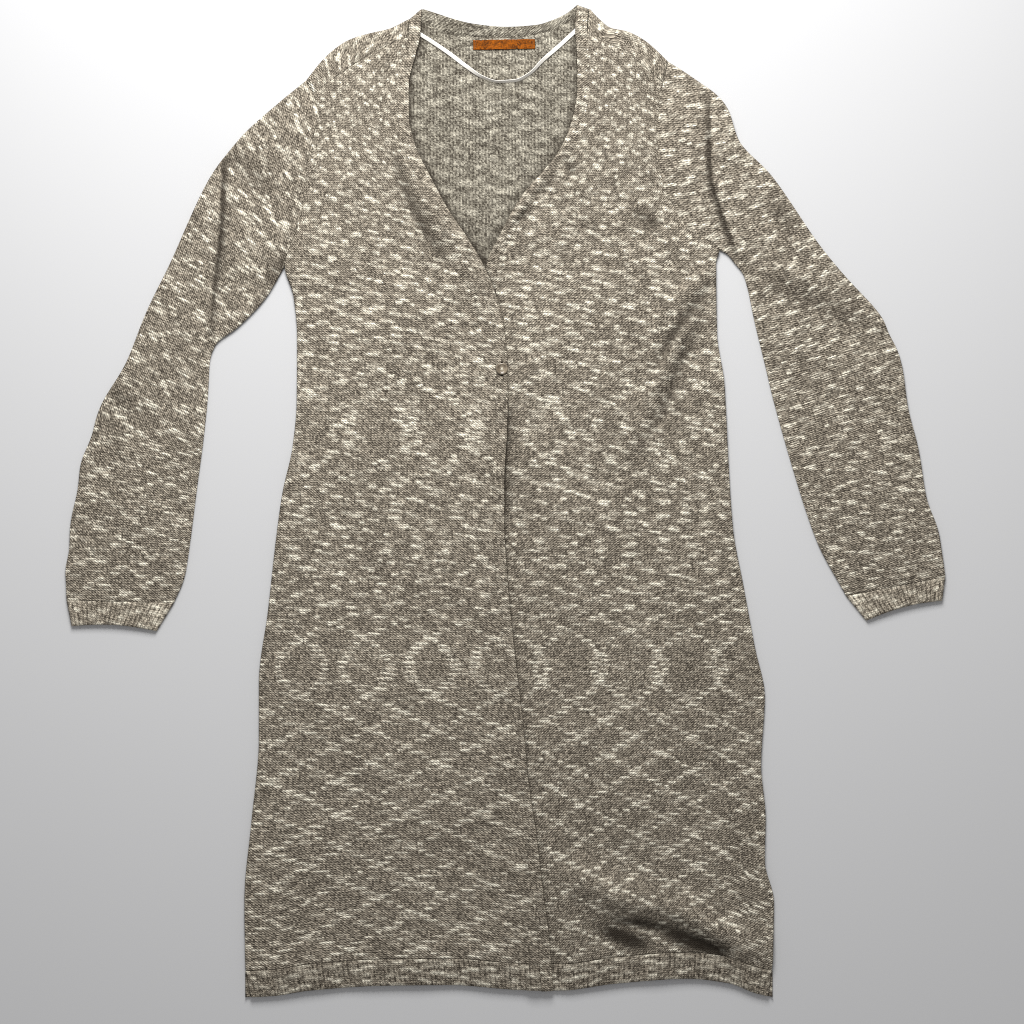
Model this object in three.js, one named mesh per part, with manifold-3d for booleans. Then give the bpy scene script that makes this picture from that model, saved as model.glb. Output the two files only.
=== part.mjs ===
// Long knitted cardigan, buttoned once and laid flat on a surface with its front up.
// Units are millimetres. +X runs to the right as the garment is seen, +Y from the hem to the neck
// and +Z up from the surface. The origin is under the middle of the garment.
// Right and left name the wearer's side, so the right front is the one at negative X.

import * as THREE from "three";
import { mergeVertices } from "three/addons/utils/BufferGeometryUtils.js";
import Module from "manifold-3d";

const wasm = await Module();
wasm.setup();

// Driving dimensions
const wall = 2.0; // thickness of the knitted cloth
const seamGap = 0.3; // space kept between two sewn pieces
const layer = wall + seamGap; // height at which the next layer of cloth starts
const edgeRound = 2.6; // width over which a turned edge rounds off
const edgeDrop = 0.8; // how far the cloth's face drops at such an edge
const bandWidth = 13; // neckband and front band
const bandTurn = 8; // end of a front band that turns down to the fold beside the neck
const overlap = 17; // how far the right front lies over the left one
const hemHeight = 29; // ribbed hem
const hemTurn = 3; // rounded end of a rib
const cuffHeight = 28; // ribbed cuff
const cuffBow = 4; // how far the cuff's open end curves in
const ribPitch = 5.6; // one knitted rib and its groove
const ribRise = 0.8; // how far a rib stands out of the cloth
const panelAir = 0.7; // air under the middle of a front
const neckLift = 2.0; // how far the fronts rise beside the neck, over the hanger tape
const shoulderBow = 6; // how far the shoulder seams bow towards the neck

// How finely the cloth is divided
const frontSteps = 8; // columns of a front between its crowded ends
const bandCrowding = 17; // width beside the band that holds two more columns
const frontBodySteps = 21; // rows of a front below the underarm
const backBodySteps = 12; // rows of the back below the underarm
const endCrowding = 0.6; // how much closer the rows are at the hem and the underarm
const armholeSteps = 10;
const shoulderSteps = 6; // columns along a shoulder
const shoulderRows = 4; // rows of the back in front of a shoulder's fold
const neckSteps = 10;
const sleeveSteps = 18;
const armholeFade = 0.28; // share of a sleeve over which its armhole's curve dies out
const tapeSteps = 26;

// Side seam and armhole of each side, from the hem up to the shoulder fold.
const rightSide = [
  { y: -546, x: -280 },
  { y: -510, x: -286 },
  { y: -440, x: -287 },
  { y: -350, x: -279 },
  { y: -260, x: -271 },
  { y: -200, x: -271 },
  { y: -120, x: -261 },
  { y: -40, x: -252 },
  { y: 10, x: -245 },
  { y: 60, x: -234 },
  { y: 110, x: -229.5 },
  { y: 180, x: -229 },
  { y: 225, x: -233 },
  { y: 258, x: -242.5 },
  { y: 274, x: -232 },
  { y: 305, x: -225 },
  { y: 356, x: -219.5 },
  { y: 401, x: -211 },
  { y: 425, x: -206 },
  { y: 445, x: -210 },
  { y: 462, x: -219.5 },
];
const leftSide = [
  { y: -546, x: 289 },
  { y: -500, x: 294 },
  { y: -440, x: 295 },
  { y: -395, x: 285 },
  { y: -350, x: 286 },
  { y: -290, x: 281 },
  { y: -215, x: 285 },
  { y: -160, x: 274 },
  { y: -90, x: 261 },
  { y: -30, x: 250 },
  { y: 45, x: 245 },
  { y: 130, x: 240.5 },
  { y: 185, x: 232.5 },
  { y: 262, x: 231.5 },
  { y: 276, x: 235 },
  { y: 286, x: 217 },
  { y: 302, x: 198 },
  { y: 325, x: 184 },
  { y: 347, x: 173.5 },
  { y: 388, x: 167 },
  { y: 435, x: 169 },
  { y: 483, x: 178.7 },
];

// Free edge of each front, from the hem up to the neck. The left one hides under the right one
// below the V, where it keeps the overlap.
const rightEdge = [
  { y: -546, x: 53 },
  { y: -478, x: 48 },
  { y: -418, x: 40 },
  { y: -373, x: 35 },
  { y: -308, x: 25.5 },
  { y: -240, x: 19 },
  { y: -144, x: 8 },
  { y: -75, x: 1.7 },
  { y: -24, x: -1 },
  { y: 23, x: -1 },
  { y: 67, x: 1.5 },
  { y: 111, x: 2.8 },
  { y: 147, x: 2.6 },
  { y: 172, x: 0.8 },
  { y: 201, x: -3 },
  { y: 223, x: -9.4 },
  { y: 252, x: -20.4 },
  { y: 282, x: -37 },
  { y: 323, x: -64 },
  { y: 355, x: -81.5 },
  { y: 392, x: -99 },
  { y: 420, x: -105.5 },
  { y: 456, x: -106 },
  { y: 490, x: -98.5 },
  { y: 512, x: -93.5 },
  { y: 541, x: -92 },
];
const leftEdgeOfV = [
  { y: 205, x: -20.5 },
  { y: 240, x: -24 },
  { y: 264, x: -20 },
  { y: 298, x: -3.5 },
  { y: 318, x: 7 },
  { y: 341, x: 22 },
  { y: 362, x: 41 },
  { y: 383, x: 57.5 },
  { y: 408, x: 69.5 },
  { y: 430, x: 75.8 },
  { y: 455, x: 78.8 },
  { y: 485, x: 78.6 },
  { y: 519, x: 76.5 },
  { y: 545.5, x: 78.5 },
];

// Fold of each shoulder, from the armhole to the neck.
const rightFold = [
  { x: -219.5, y: 462 },
  { x: -201, y: 485 },
  { x: -189, y: 496 },
  { x: -172, y: 507 },
  { x: -150, y: 514 },
  { x: -128, y: 519 },
  { x: -106.5, y: 529.5 },
];
const leftFold = [
  { x: 178.7, y: 483 },
  { x: 165.5, y: 496 },
  { x: 152, y: 507 },
  { x: 133, y: 516.5 },
  { x: 116, y: 520 },
  { x: 104, y: 529 },
  { x: 92.5, y: 541 },
];

// Seam and free edge of the back neckband, from the wearer's right to the left.
const backNeck = [
  { seamX: -106.5, seamY: 529.5, freeX: -91, freeY: 541 },
  { seamX: -88.5, seamY: 524.5, freeX: -78, freeY: 537 },
  { seamX: -72, seamY: 515.5, freeX: -60, freeY: 531 },
  { seamX: -45, seamY: 510.5, freeX: -36, freeY: 525 },
  { seamX: 0, seamY: 509, freeX: 0, freeY: 521.5 },
  { seamX: 35, seamY: 513, freeX: 33, freeY: 523.5 },
  { seamX: 57, seamY: 520, freeX: 52, freeY: 529 },
  { seamX: 73.5, seamY: 529.5, freeX: 66, freeY: 535.5 },
  { seamX: 92.5, seamY: 541, freeX: 79, freeY: 545.5 },
];

// Lower edge of the ribbed hem.
const hemLine = [
  { x: -290, y: -545.8 },
  { x: -255, y: -544 },
  { x: -215, y: -538 },
  { x: -130, y: -532.5 },
  { x: -60, y: -532 },
  { x: 20, y: -537.5 },
  { x: 60, y: -538 },
  { x: 120, y: -530.5 },
  { x: 200, y: -525 },
  { x: 245, y: -530 },
  { x: 275, y: -541 },
  { x: 296, y: -546 },
];

// A sleeve has a fold along its outer edge and another along its inner one. Each row is a section
// from the armhole to the cuff. Rise is the air that the sleeve holds.
const rightSleeve = [
  { outerX: -219.5, outerY: 462, innerX: -242.5, innerY: 258, rise: 0.4 },
  { outerX: -271, outerY: 419, innerX: -263.5, innerY: 223, rise: 0.8 },
  { outerX: -312, outerY: 375, innerX: -294, innerY: 191, rise: 1.1 },
  { outerX: -347, outerY: 311, innerX: -318.5, innerY: 171.5, rise: 1.3 },
  { outerX: -380, outerY: 237.5, innerX: -325, innerY: 152, rise: 1.4 },
  { outerX: -416.5, outerY: 157, innerX: -327, innerY: 116.5, rise: 1.3 },
  { outerX: -452.5, outerY: 83.5, innerX: -332, innerY: 67, rise: 1.3 },
  { outerX: -470, outerY: 21, innerX: -339, innerY: 14.5, rise: 1.3 },
  { outerX: -480, outerY: -48.5, innerX: -347, innerY: -48.5, rise: 1.3 },
  { outerX: -483.5, outerY: -85, innerX: -352.5, innerY: -82.5, rise: 1.1 },
  { outerX: -482.5, outerY: -109, innerX: -364.5, innerY: -112, rise: 0.7 },
];
const leftSleeve = [
  { outerX: 178.7, outerY: 483, innerX: 235, innerY: 276, rise: 0.4 },
  { outerX: 214, outerY: 460, innerX: 243, innerY: 271.5, rise: 0.8 },
  { outerX: 243.5, outerY: 433.5, innerX: 252.5, innerY: 260.5, rise: 1.1 },
  { outerX: 256, outerY: 397, innerX: 261, innerY: 249.5, rise: 1.2 },
  { outerX: 289, outerY: 363, innerX: 266, innerY: 234, rise: 1.2 },
  { outerX: 337, outerY: 291.5, innerX: 273.5, innerY: 198, rise: 1.3 },
  { outerX: 404, outerY: 213.5, innerX: 285.5, innerY: 148.5, rise: 1.3 },
  { outerX: 427.5, outerY: 174, innerX: 293, innerY: 116.5, rise: 1.3 },
  { outerX: 447, outerY: 87, innerX: 311, innerY: 51.5, rise: 1.3 },
  { outerX: 465, outerY: -1, innerX: 330.5, innerY: -12, rise: 1.3 },
  { outerX: 478, outerY: -43, innerX: 344, innerY: -48.5, rise: 1.2 },
  { outerX: 483.5, outerY: -83.5, innerX: 374.5, innerY: -104.5, rise: 0.7 },
];
const rightCuffEnd = { outerX: -477, outerY: -137.5, innerX: -383.5, innerY: -143, rise: 0.6 };
const leftCuffEnd = { outerX: 480, outerY: -109.5, innerX: 396.5, innerY: -131.5, rise: 0.6 };

// Largest folds. Each runs through its points, where it stands this high, and falls off over
// leftWidth on its left as it runs and over rightWidth on its right.
const folds = [
  {
    name: "roll above the left hem",
    leftWidth: 26,
    rightWidth: 13,
    line: [
      { x: 62, y: -398, height: 1 },
      { x: 92, y: -416, height: 5 },
      { x: 135, y: -436, height: 7 },
      { x: 180, y: -446, height: 7.5 },
      { x: 226, y: -470, height: 7 },
      { x: 268, y: -492, height: 4.5 },
      { x: 292, y: -506, height: 2 },
    ],
  },
  {
    name: "upper crease from the left underarm",
    leftWidth: 11,
    rightWidth: 11,
    line: [
      { x: 222, y: 250, height: 1 },
      { x: 196, y: 228, height: 3.5 },
      { x: 166, y: 196, height: 1 },
    ],
  },
  {
    name: "long crease from the left underarm",
    leftWidth: 12,
    rightWidth: 12,
    line: [
      { x: 212, y: 226, height: 1 },
      { x: 185, y: 170, height: 3.5 },
      { x: 160, y: 116, height: 3.5 },
      { x: 126, y: 48, height: 0.5 },
    ],
  },
  {
    name: "roll of cloth beside the V",
    leftWidth: 13,
    rightWidth: 12,
    line: [
      { x: -118, y: 405, height: 1 },
      { x: -105, y: 365, height: 2.5 },
      { x: -76, y: 318, height: 3.5 },
      { x: -48, y: 272, height: 3.5 },
      { x: -26, y: 226, height: 2.5 },
      { x: -17, y: 190, height: 1 },
    ],
  },
  {
    name: "crease across the right chest",
    leftWidth: 11,
    rightWidth: 11,
    line: [
      { x: -150, y: 285, height: 0.5 },
      { x: -124, y: 232, height: 2.8 },
      { x: -102, y: 178, height: 0.5 },
    ],
  },
  {
    name: "step of the right sleeve",
    leftWidth: 7,
    rightWidth: 26,
    line: [
      { x: -316, y: 380, height: 1.2 },
      { x: -320, y: 330, height: 2.4 },
      { x: -324, y: 250, height: 2.6 },
      { x: -328, y: 175, height: 1 },
    ],
  },
  {
    name: "step of the left sleeve",
    leftWidth: 24,
    rightWidth: 7,
    line: [
      { x: 233, y: 440, height: 1.5 },
      { x: 233, y: 392, height: 2.6 },
      { x: 236, y: 348, height: 2.6 },
      { x: 252, y: 302, height: 2.4 },
      { x: 264, y: 266, height: 0.8 },
    ],
  },
  {
    name: "dent above the left elbow",
    leftWidth: 13,
    rightWidth: 13,
    line: [
      { x: 290, y: 262, height: 0.8 },
      { x: 322, y: 246, height: 2.2 },
      { x: 356, y: 246, height: 0.8 },
    ],
  },
];

// Small pieces
const button = {
  x: -3.9,
  y: 145,
  radius: 6.5,
  thickness: 2.6,
  bevel: 0.7,
  dishRadius: 4.2,
  dish: 0.7,
  stem: 1.2,
  segments: 24,
};
const buttonhole = { length: 15, width: 3.4, depth: 40 };
const label = { x: -1.5, y: 501.8, width: 68, height: 10.6, thickness: 1.2, turn: 0.018 };
const tape = { width: 5.4, thickness: 1.0 };
const tapeLine = [
  { x: -103, y: 518.5 },
  { x: -80, y: 504 },
  { x: -62, y: 492 },
  { x: -43, y: 477.5 },
  { x: -26, y: 466 },
  { x: -8, y: 460.5 },
  { x: 10, y: 461.5 },
  { x: 26, y: 469 },
  { x: 42, y: 485 },
  { x: 60, y: 501 },
  { x: 87, y: 526 },
];

const knit = { color: 0x8f8578, roughness: 0.95, metalness: 0 };
const ribKnit = { color: 0x877d70, roughness: 0.95, metalness: 0 };
const suede = { color: 0x8a4f22, roughness: 0.8, metalness: 0 };
const satin = { color: 0xe6e0d2, roughness: 0.45, metalness: 0 };
const resin = { color: 0x8b8072, roughness: 0.35, metalness: 0 };

// A smooth curve through a table's rows that never swings past them. It gives value at key.
function curveThrough(rows, key, value) {
  const slopes = rows.slice(1).map((row, i) => (row[value] - rows[i][value]) / (row[key] - rows[i][key]));
  const tangents = rows.map((row, i) => {
    const before = slopes[Math.max(0, i - 1)];
    const after = slopes[Math.min(slopes.length - 1, i)];
    return before * after <= 0 ? 0 : (2 * before * after) / (before + after);
  });
  return (at) => {
    const passed = rows.filter((row) => row[key] <= at).length;
    const i = THREE.MathUtils.clamp(passed - 1, 0, rows.length - 2);
    const span = rows[i + 1][key] - rows[i][key];
    const t = THREE.MathUtils.clamp((at - rows[i][key]) / span, 0, 1);
    const rest = 1 - t;
    return (
      rows[i][value] * (1 + 2 * t) * rest * rest +
      rows[i + 1][value] * (3 - 2 * t) * t * t +
      tangents[i] * span * t * rest * rest -
      tangents[i + 1] * span * t * t * rest
    );
  };
}

// The same curve for several columns of a table at once, by the share of its rows gone by.
function pathThrough(rows, names) {
  const numbered = rows.map((row, i) => ({ ...row, share: i / (rows.length - 1) }));
  const curves = names.map((name) => curveThrough(numbered, "share", name));
  return (share) => curves.map((curve) => curve(share));
}

const between = (a, b, t) => a + (b - a) * t;
const betweenPoints = (a, b, t) => a.map((value, i) => between(value, b[i], t));
const evenShares = (steps) => Array.from({ length: steps + 1 }, (unused, i) => i / steps);

// The point at a share of the way through a line's points, straight from each to the next.
function alongLine(line, share) {
  const at = THREE.MathUtils.clamp(share, 0, 1) * (line.length - 1);
  const i = Math.min(Math.floor(at), line.length - 2);
  return betweenPoints(line[i], line[i + 1], at - i);
}

const rightSideAt = curveThrough(rightSide, "y", "x");
const leftSideAt = curveThrough(leftSide, "y", "x");
const rightEdgeAt = curveThrough(rightEdge, "y", "x");
const leftVAt = curveThrough(leftEdgeOfV, "y", "x");
const hemAt = curveThrough(hemLine, "x", "y");
const vBottom = leftEdgeOfV[0].y;
const leftEdgeAt = (y) => (y < vBottom ? rightEdgeAt(y) - overlap : leftVAt(y));
const hemSeam = (x) => [x, hemAt(x) + hemHeight + seamGap];

// A point on a front, at this distance from its free edge.
function besideEdge(side, y, distance) {
  const step = 2;
  const slope = (side.edgeAt(y + step) - side.edgeAt(y - step)) / (2 * step);
  const away = (side.outward * distance) / Math.hypot(1, slope);
  return [side.edgeAt(y) + away, y - away * slope];
}

// Height that the folds add at a point, the highest of them.
function foldHeight(x, y) {
  const at = new THREE.Vector2(x, y);
  let highest = 0;
  for (const fold of folds) {
    fold.line.slice(1).forEach((to, i) => {
      const from = fold.line[i];
      const along = new THREE.Vector2(to.x - from.x, to.y - from.y);
      const offset = new THREE.Vector2(from.x, from.y).sub(at).negate();
      const t = THREE.MathUtils.clamp(offset.dot(along) / along.lengthSq(), 0, 1);
      offset.addScaledVector(along, -t);
      const reach = offset.length() / (along.cross(offset) > 0 ? fold.leftWidth : fold.rightWidth);
      highest = Math.max(highest, between(from.height, to.height, t) * Math.exp(-reach * reach));
    });
  }
  return highest;
}

// Air under the fronts: none at a side, a little in the middle of a panel, and more by the neck.
function airUnder(x, y) {
  const smooth = THREE.MathUtils.smoothstep;
  const fromSide = Math.min(x - rightSideAt(y), leftSideAt(y) - x);
  const byNeck = smooth(y, 470, 505) * smooth(x, -150, -115) * (1 - smooth(x, 85, 125));
  return panelAir * smooth(fromSide, 0, 45) + neckLift * byNeck;
}

// Inner height of the right front, which climbs onto the left front where they overlap.
function rightFrontHeight([x, y]) {
  const climb = THREE.MathUtils.smoothstep(x - leftEdgeAt(y), -17, -6);
  return layer + layer * climb + airUnder(x, y) + foldHeight(x, y);
}

// Inner height of the left front, which stays flat where the right front lies on it.
function leftFrontHeight([x, y]) {
  const clear = THREE.MathUtils.smoothstep(x - rightEdgeAt(y), 3, 26);
  return layer + (airUnder(x, y) + foldHeight(x, y)) * clear;
}

// A named mesh of these vertices and triangles, with its faces turned out.
function solidMesh(name, vertices, triangles, material) {
  const corners = [new THREE.Vector3(), new THREE.Vector3(), new THREE.Vector3()];
  let volume = 0;
  for (const triangle of triangles) {
    triangle.forEach((index, i) => corners[i].fromArray(vertices[index]));
    volume += corners[0].dot(corners[1].clone().cross(corners[2]));
  }
  const facing = volume < 0 ? triangles.map(([a, b, c]) => [a, c, b]) : triangles;
  const geometry = new THREE.BufferGeometry();
  geometry.setAttribute("position", new THREE.Float32BufferAttribute(vertices.flat(), 3));
  geometry.setIndex(facing.flat());
  geometry.computeVertexNormals();
  const mesh = new THREE.Mesh(geometry, new THREE.MeshStandardMaterial(material));
  mesh.name = name;
  return mesh;
}

// A wall of cloth. Each point has an outer and an inner place, and each cell names four points.
// The wall is closed along every edge that only one cell has.
function clothWall(name, points, cells, material) {
  const vertices = points.flatMap((point) => [point.outer, point.inner]);
  const outer = (i) => 2 * i;
  const inner = (i) => 2 * i + 1;
  const triangles = [];
  const used = new Set();
  for (const [a, b, c, d] of cells) {
    triangles.push([outer(a), outer(b), outer(c)], [outer(a), outer(c), outer(d)]);
    triangles.push([inner(a), inner(c), inner(b)], [inner(a), inner(d), inner(c)]);
    [[a, b], [b, c], [c, d], [d, a]].forEach(([from, to]) => used.add(`${from} ${to}`));
  }
  for (const edge of used) {
    const [from, to] = edge.split(" ").map(Number);
    if (used.has(`${to} ${from}`)) continue;
    triangles.push([outer(to), outer(from), inner(from)], [outer(to), inner(from), inner(to)]);
  }
  return solidMesh(name, vertices, triangles, material);
}

// Cells of a grid whose points are numbered along its rows. A closed one joins its last column
// to its first.
function gridCells(rowCount, columnCount, closed = false) {
  const cells = [];
  const last = closed ? columnCount : columnCount - 1;
  for (let row = 0; row < rowCount - 1; row++) {
    for (let column = 0; column < last; column++) {
      const next = (column + 1) % columnCount;
      const here = row * columnCount;
      cells.push([here + column, here + next, here + columnCount + next, here + columnCount + column]);
    }
  }
  return cells;
}

// A grid of places that fills the space between four edges. Its sides have as many points as each
// other, and so do its bottom and its top. The top's slopes die out soon below it.
function fillBetween(first, last, bottom, top) {
  const bend = (edge, column, over, axis) =>
    edge[column][axis] - between(edge[0][axis], edge[edge.length - 1][axis], over);
  const rowShare = (row) => (first[row][1] - first[0][1]) / (first[first.length - 1][1] - first[0][1]);
  const columnShare = (column) => (top[column][0] - top[0][0]) / (top[top.length - 1][0] - top[0][0]);
  return first.map((unused, row) =>
    top.map((alsoUnused, column) => {
      const over = columnShare(column);
      const pull = [rowShare(row), rowShare(row) ** 3];
      return pull.map((up, axis) => {
        const straight = between(first[row][axis], last[row][axis], over);
        return straight + between(bend(bottom, column, over, axis), bend(top, column, over, axis), up);
      });
    }),
  );
}

// A point of cloth that lies over other cloth. Its outer face is up.
function upperPoint(place, height, drop = 0, rise = 0) {
  return { outer: [...place, height + wall - drop + rise], inner: [...place, height] };
}

// A point of cloth that lies on the surface. Its outer face is down.
function lowerPoint(place, lift = 0) {
  return { outer: [...place, lift], inner: [...place, wall] };
}

// Points of the armhole, from the underarm up to the shoulder seam. All that meets it has them.
function armholeLine(side) {
  return evenShares(armholeSteps).map((share) => {
    const y = between(side.underarm, side.armholeTop, share);
    return [side.sideAt(y), y];
  });
}

// Points of the side seam from the hem's seam up, closest at both ends, and then of the armhole.
function sideLine(side, bodySteps) {
  const lowest = hemSeam(side.sideAt(hemAt(0) + hemHeight))[1];
  const seam = evenShares(bodySteps).slice(0, -1).map((share) => {
    const spread = share - (endCrowding * Math.sin(2 * Math.PI * share)) / (2 * Math.PI);
    const y = between(lowest, side.underarm, spread);
    return [side.sideAt(y), y];
  });
  return [...seam, ...armholeLine(side)];
}

// Heights on a front's free edge that match its side's points, from the hem's seam to the neck.
function edgeLevels(side) {
  const line = sideLine(side, frontBodySteps);
  const bottom = hemSeam(side.edgeAt(hemAt(0)))[1];
  const [lowest, highest] = [line[0][1], line[line.length - 1][1]];
  return line.map(([, y]) => between(bottom, side.neckCorner, (y - lowest) / (highest - lowest)));
}

// Knots of the seam in front of a shoulder, from the armhole to the band.
function shoulderSeam(side) {
  const from = [side.sideAt(side.armholeTop), side.armholeTop];
  const to = besideEdge(side, side.neckCorner, bandWidth + seamGap);
  return evenShares(shoulderSteps).map((share) => {
    const [x, y] = betweenPoints(from, to, share);
    return [x, y + shoulderBow * Math.sin(Math.PI * share)];
  });
}

// Distances over a front from its side to its band, close at both ends.
function acrossFront(width) {
  const even = evenShares(frontSteps).map((share) => between(edgeRound, width - bandCrowding, share));
  return [0, ...even, width - bandCrowding / 3, width];
}

// Places of a front panel, from its hem's seam to the shoulder and from its side to its band.
function frontPlaces(side) {
  const first = sideLine(side, frontBodySteps);
  const last = edgeLevels(side).map((level) => besideEdge(side, level, bandWidth + seamGap));
  const seam = shoulderSeam(side);
  const bottomWidth = Math.abs(last[0][0] - first[0][0]);
  const topWidth = Math.abs(seam[seam.length - 1][0] - seam[0][0]);
  const bottom = acrossFront(bottomWidth).map((distance) => hemSeam(first[0][0] - side.outward * distance));
  const top = acrossFront(topWidth).map((distance) => alongLine(seam, distance / topWidth));
  bottom[0] = first[0];
  bottom[bottom.length - 1] = last[0];
  return fillBetween(first, last, bottom, top);
}

// A front panel. Its outer face drops at the side seam, where the cloth turns to the back.
function frontPanel(side) {
  const places = frontPlaces(side);
  const points = places.flatMap((row) =>
    row.map((place, column) => {
      const turned = column === 0 && place[1] < side.underarm;
      return upperPoint(place, side.heightAt(place), turned ? edgeDrop : 0);
    }),
  );
  return clothWall(side.panelName, points, gridCells(places.length, places[0].length), knit);
}

// The band on a front's free edge, from the hem to the fold beside the neck.
function frontBand(side) {
  const across = [0, edgeRound, bandWidth / 2, bandWidth];
  const bottom = hemAt(side.edgeAt(hemAt(0)));
  const levels = [bottom, ...edgeLevels(side), side.bandTop - bandTurn, side.bandTop];
  const last = levels.length - 1;
  const points = levels.flatMap((level, row) =>
    across.map((distance, column) => {
      const slant = row >= last - 1 ? (distance / bandWidth) * side.bandSlant : 0;
      const place = besideEdge(side, level - slant, distance);
      if (row === 0) place[1] = hemAt(place[0]);
      const turned = column === 0 || row === 0 || row === last;
      return upperPoint(place, row === last ? layer : side.heightAt(place), turned ? edgeDrop : 0);
    }),
  );
  return clothWall(side.bandName, points, gridCells(levels.length, across.length), knit);
}

// The ribbed hem under a front. Its ribs stand out of the outer face over a plain inside.
function frontHem(side) {
  const seam = frontPlaces(side)[0].map(([x, y]) => [x, y - seamGap, side.heightAt([x, y])]);
  const [seamX, seamEndX] = [seam[0][0], seam[seam.length - 1][0]];
  const sideX = side.sideAt(hemAt(seamX));
  const [endX] = besideEdge(side, hemAt(side.edgeAt(hemAt(0))), bandWidth + seamGap);
  const steps = 2 * Math.round(Math.abs(seamEndX - seamX) / ribPitch);
  const seamShares = acrossFront(Math.abs(seamEndX - seamX)).map((d) => d / Math.abs(seamEndX - seamX));
  const seamAt = curveOfPoints(seamShares, seam);
  const rows = [0, hemTurn / hemHeight, 1];
  const points = rows.flatMap((up) =>
    evenShares(steps).map((share, column) => {
      const [topX, topY, topHeight] = seamAt(share);
      const bottomX = between(sideX, endX, share);
      const bottomPlace = [bottomX, hemAt(bottomX), side.heightAt([bottomX, hemAt(bottomX)])];
      const [x, y, height] = betweenPoints(bottomPlace, [topX, topY, topHeight], up);
      const turned = up === 0 || column === 0;
      return upperPoint([x, y], height, turned ? edgeDrop : 0, column % 2 === 1 ? ribRise : 0);
    }),
  );
  return clothWall(side.hemName, points, gridCells(rows.length, steps + 1), ribKnit);
}

// Straight from point to point, by their shares.
function curveOfPoints(shares, points) {
  return (at) => {
    const i = THREE.MathUtils.clamp(shares.filter((share) => share <= at).length - 1, 0, shares.length - 2);
    return betweenPoints(points[i], points[i + 1], (at - shares[i]) / (shares[i + 1] - shares[i]));
  };
}

// Knots of the seam that joins the back to its neckband, and of that band's free edge.
function backNeckLines() {
  const seamAt = pathThrough(backNeck, ["seamX", "seamY"]);
  const freeAt = pathThrough(backNeck, ["freeX", "freeY"]);
  const shares = evenShares(neckSteps);
  return { seam: shares.map(seamAt), free: shares.map(freeAt) };
}

// The place on an armhole where the back starts to turn up to the shoulder's fold.
function belowFold(side) {
  const seamEnd = [side.sideAt(side.armholeTop), side.armholeTop];
  const fold = side.foldAt(0);
  const length = Math.hypot(fold[0] - seamEnd[0], fold[1] - seamEnd[1]);
  return betweenPoints(fold, seamEnd, edgeRound / length);
}

// Places of the back's flat part, from its hem's seam to the folds of the shoulders and the neck.
function backPlaces() {
  const shoulderTops = [rightFrontSide, leftFrontSide].map((side) => {
    const fold = evenShares(shoulderSteps).map(side.foldAt);
    return [belowFold(side), ...fold.slice(1, -1).map(([x, y]) => [x, y - edgeRound])];
  });
  const [rightTop, leftTop] = shoulderTops;
  const neck = backNeckLines().seam.map(([x, y], i) => [x, i % neckSteps === 0 ? y - edgeRound : y]);
  const top = [...rightTop, ...neck, ...leftTop.reverse()];
  const [first, last] = [rightFrontSide, leftFrontSide].map((side) => {
    const line = sideLine(side, backBodySteps);
    return [...line, betweenPoints(line[line.length - 1], belowFold(side), 0.5), belowFold(side)];
  });
  const bottom = top.map(([x]) => {
    const over = (x - top[0][0]) / (top[top.length - 1][0] - top[0][0]);
    return hemSeam(between(first[0][0], last[0][0], over));
  });
  bottom[0] = first[0];
  bottom[bottom.length - 1] = last[0];
  return fillBetween(first, last, bottom, top);
}

// The back: one panel that folds over each shoulder and ends at the seam in front of it.
function backPanel() {
  const places = backPlaces();
  const columnCount = places[0].length;
  const points = places.flatMap((row) =>
    row.map((place, column) => {
      const atSide = column === 0 || column === columnCount - 1;
      return lowerPoint(place, atSide && place[1] < rightFrontSide.underarm ? edgeDrop : 0);
    }),
  );
  const cells = gridCells(places.length, columnCount);
  const topRow = (places.length - 1) * columnCount;
  for (const side of [rightFrontSide, leftFrontSide]) {
    const onRight = side === rightFrontSide;
    const start = onRight ? topRow : topRow + columnCount - 1 - shoulderSteps;
    let below = evenShares(shoulderSteps).map((unused, i) => start + i);
    const seam = shoulderSeam(side);
    const shares = evenShares(shoulderSteps);
    if (!onRight) shares.reverse();
    evenShares(shoulderRows).forEach((forward, row) => {
      const here = shares.map((share) => {
        const fold = side.foldAt(share);
        const seamKnot = alongLine(seam, share);
        const end = [seamKnot[0], seamKnot[1] + 2 * seamGap];
        const length = Math.hypot(end[0] - fold[0], end[1] - fold[1]);
        const place = betweenPoints(fold, end, forward);
        const inside = betweenPoints(fold, end, wall / length);
        const middle = layer - seamGap / 2;
        const folded = { outer: [...place, middle], inner: [...inside, middle] };
        points.push(row === 0 ? folded : upperPoint(place, side.heightAt(place)));
        return points.length - 1;
      });
      here.slice(1).forEach((unused, i) => cells.push([below[i], below[i + 1], here[i + 1], here[i]]));
      below = here;
    });
  }
  return clothWall("back", points, cells, knit);
}

// The hem under the back, plain on the side that rests on the surface.
function backHem() {
  const seam = backPlaces()[0].map(([x, y]) => [x, y - seamGap]);
  const rightX = rightSideAt(hemAt(seam[0][0]));
  const leftX = leftSideAt(hemAt(seam[seam.length - 1][0]));
  const rows = [0, hemTurn / hemHeight, 1];
  const points = rows.flatMap((up) =>
    seam.map((top, column) => {
      const over = (top[0] - seam[0][0]) / (seam[seam.length - 1][0] - seam[0][0]);
      const x = between(rightX, leftX, over);
      const turned = up === 0 || column === 0 || column === seam.length - 1;
      return lowerPoint(betweenPoints([x, hemAt(x)], top, up), turned ? edgeDrop : 0);
    }),
  );
  return clothWall("hem_back", points, gridCells(rows.length, seam.length), ribKnit);
}

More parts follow.
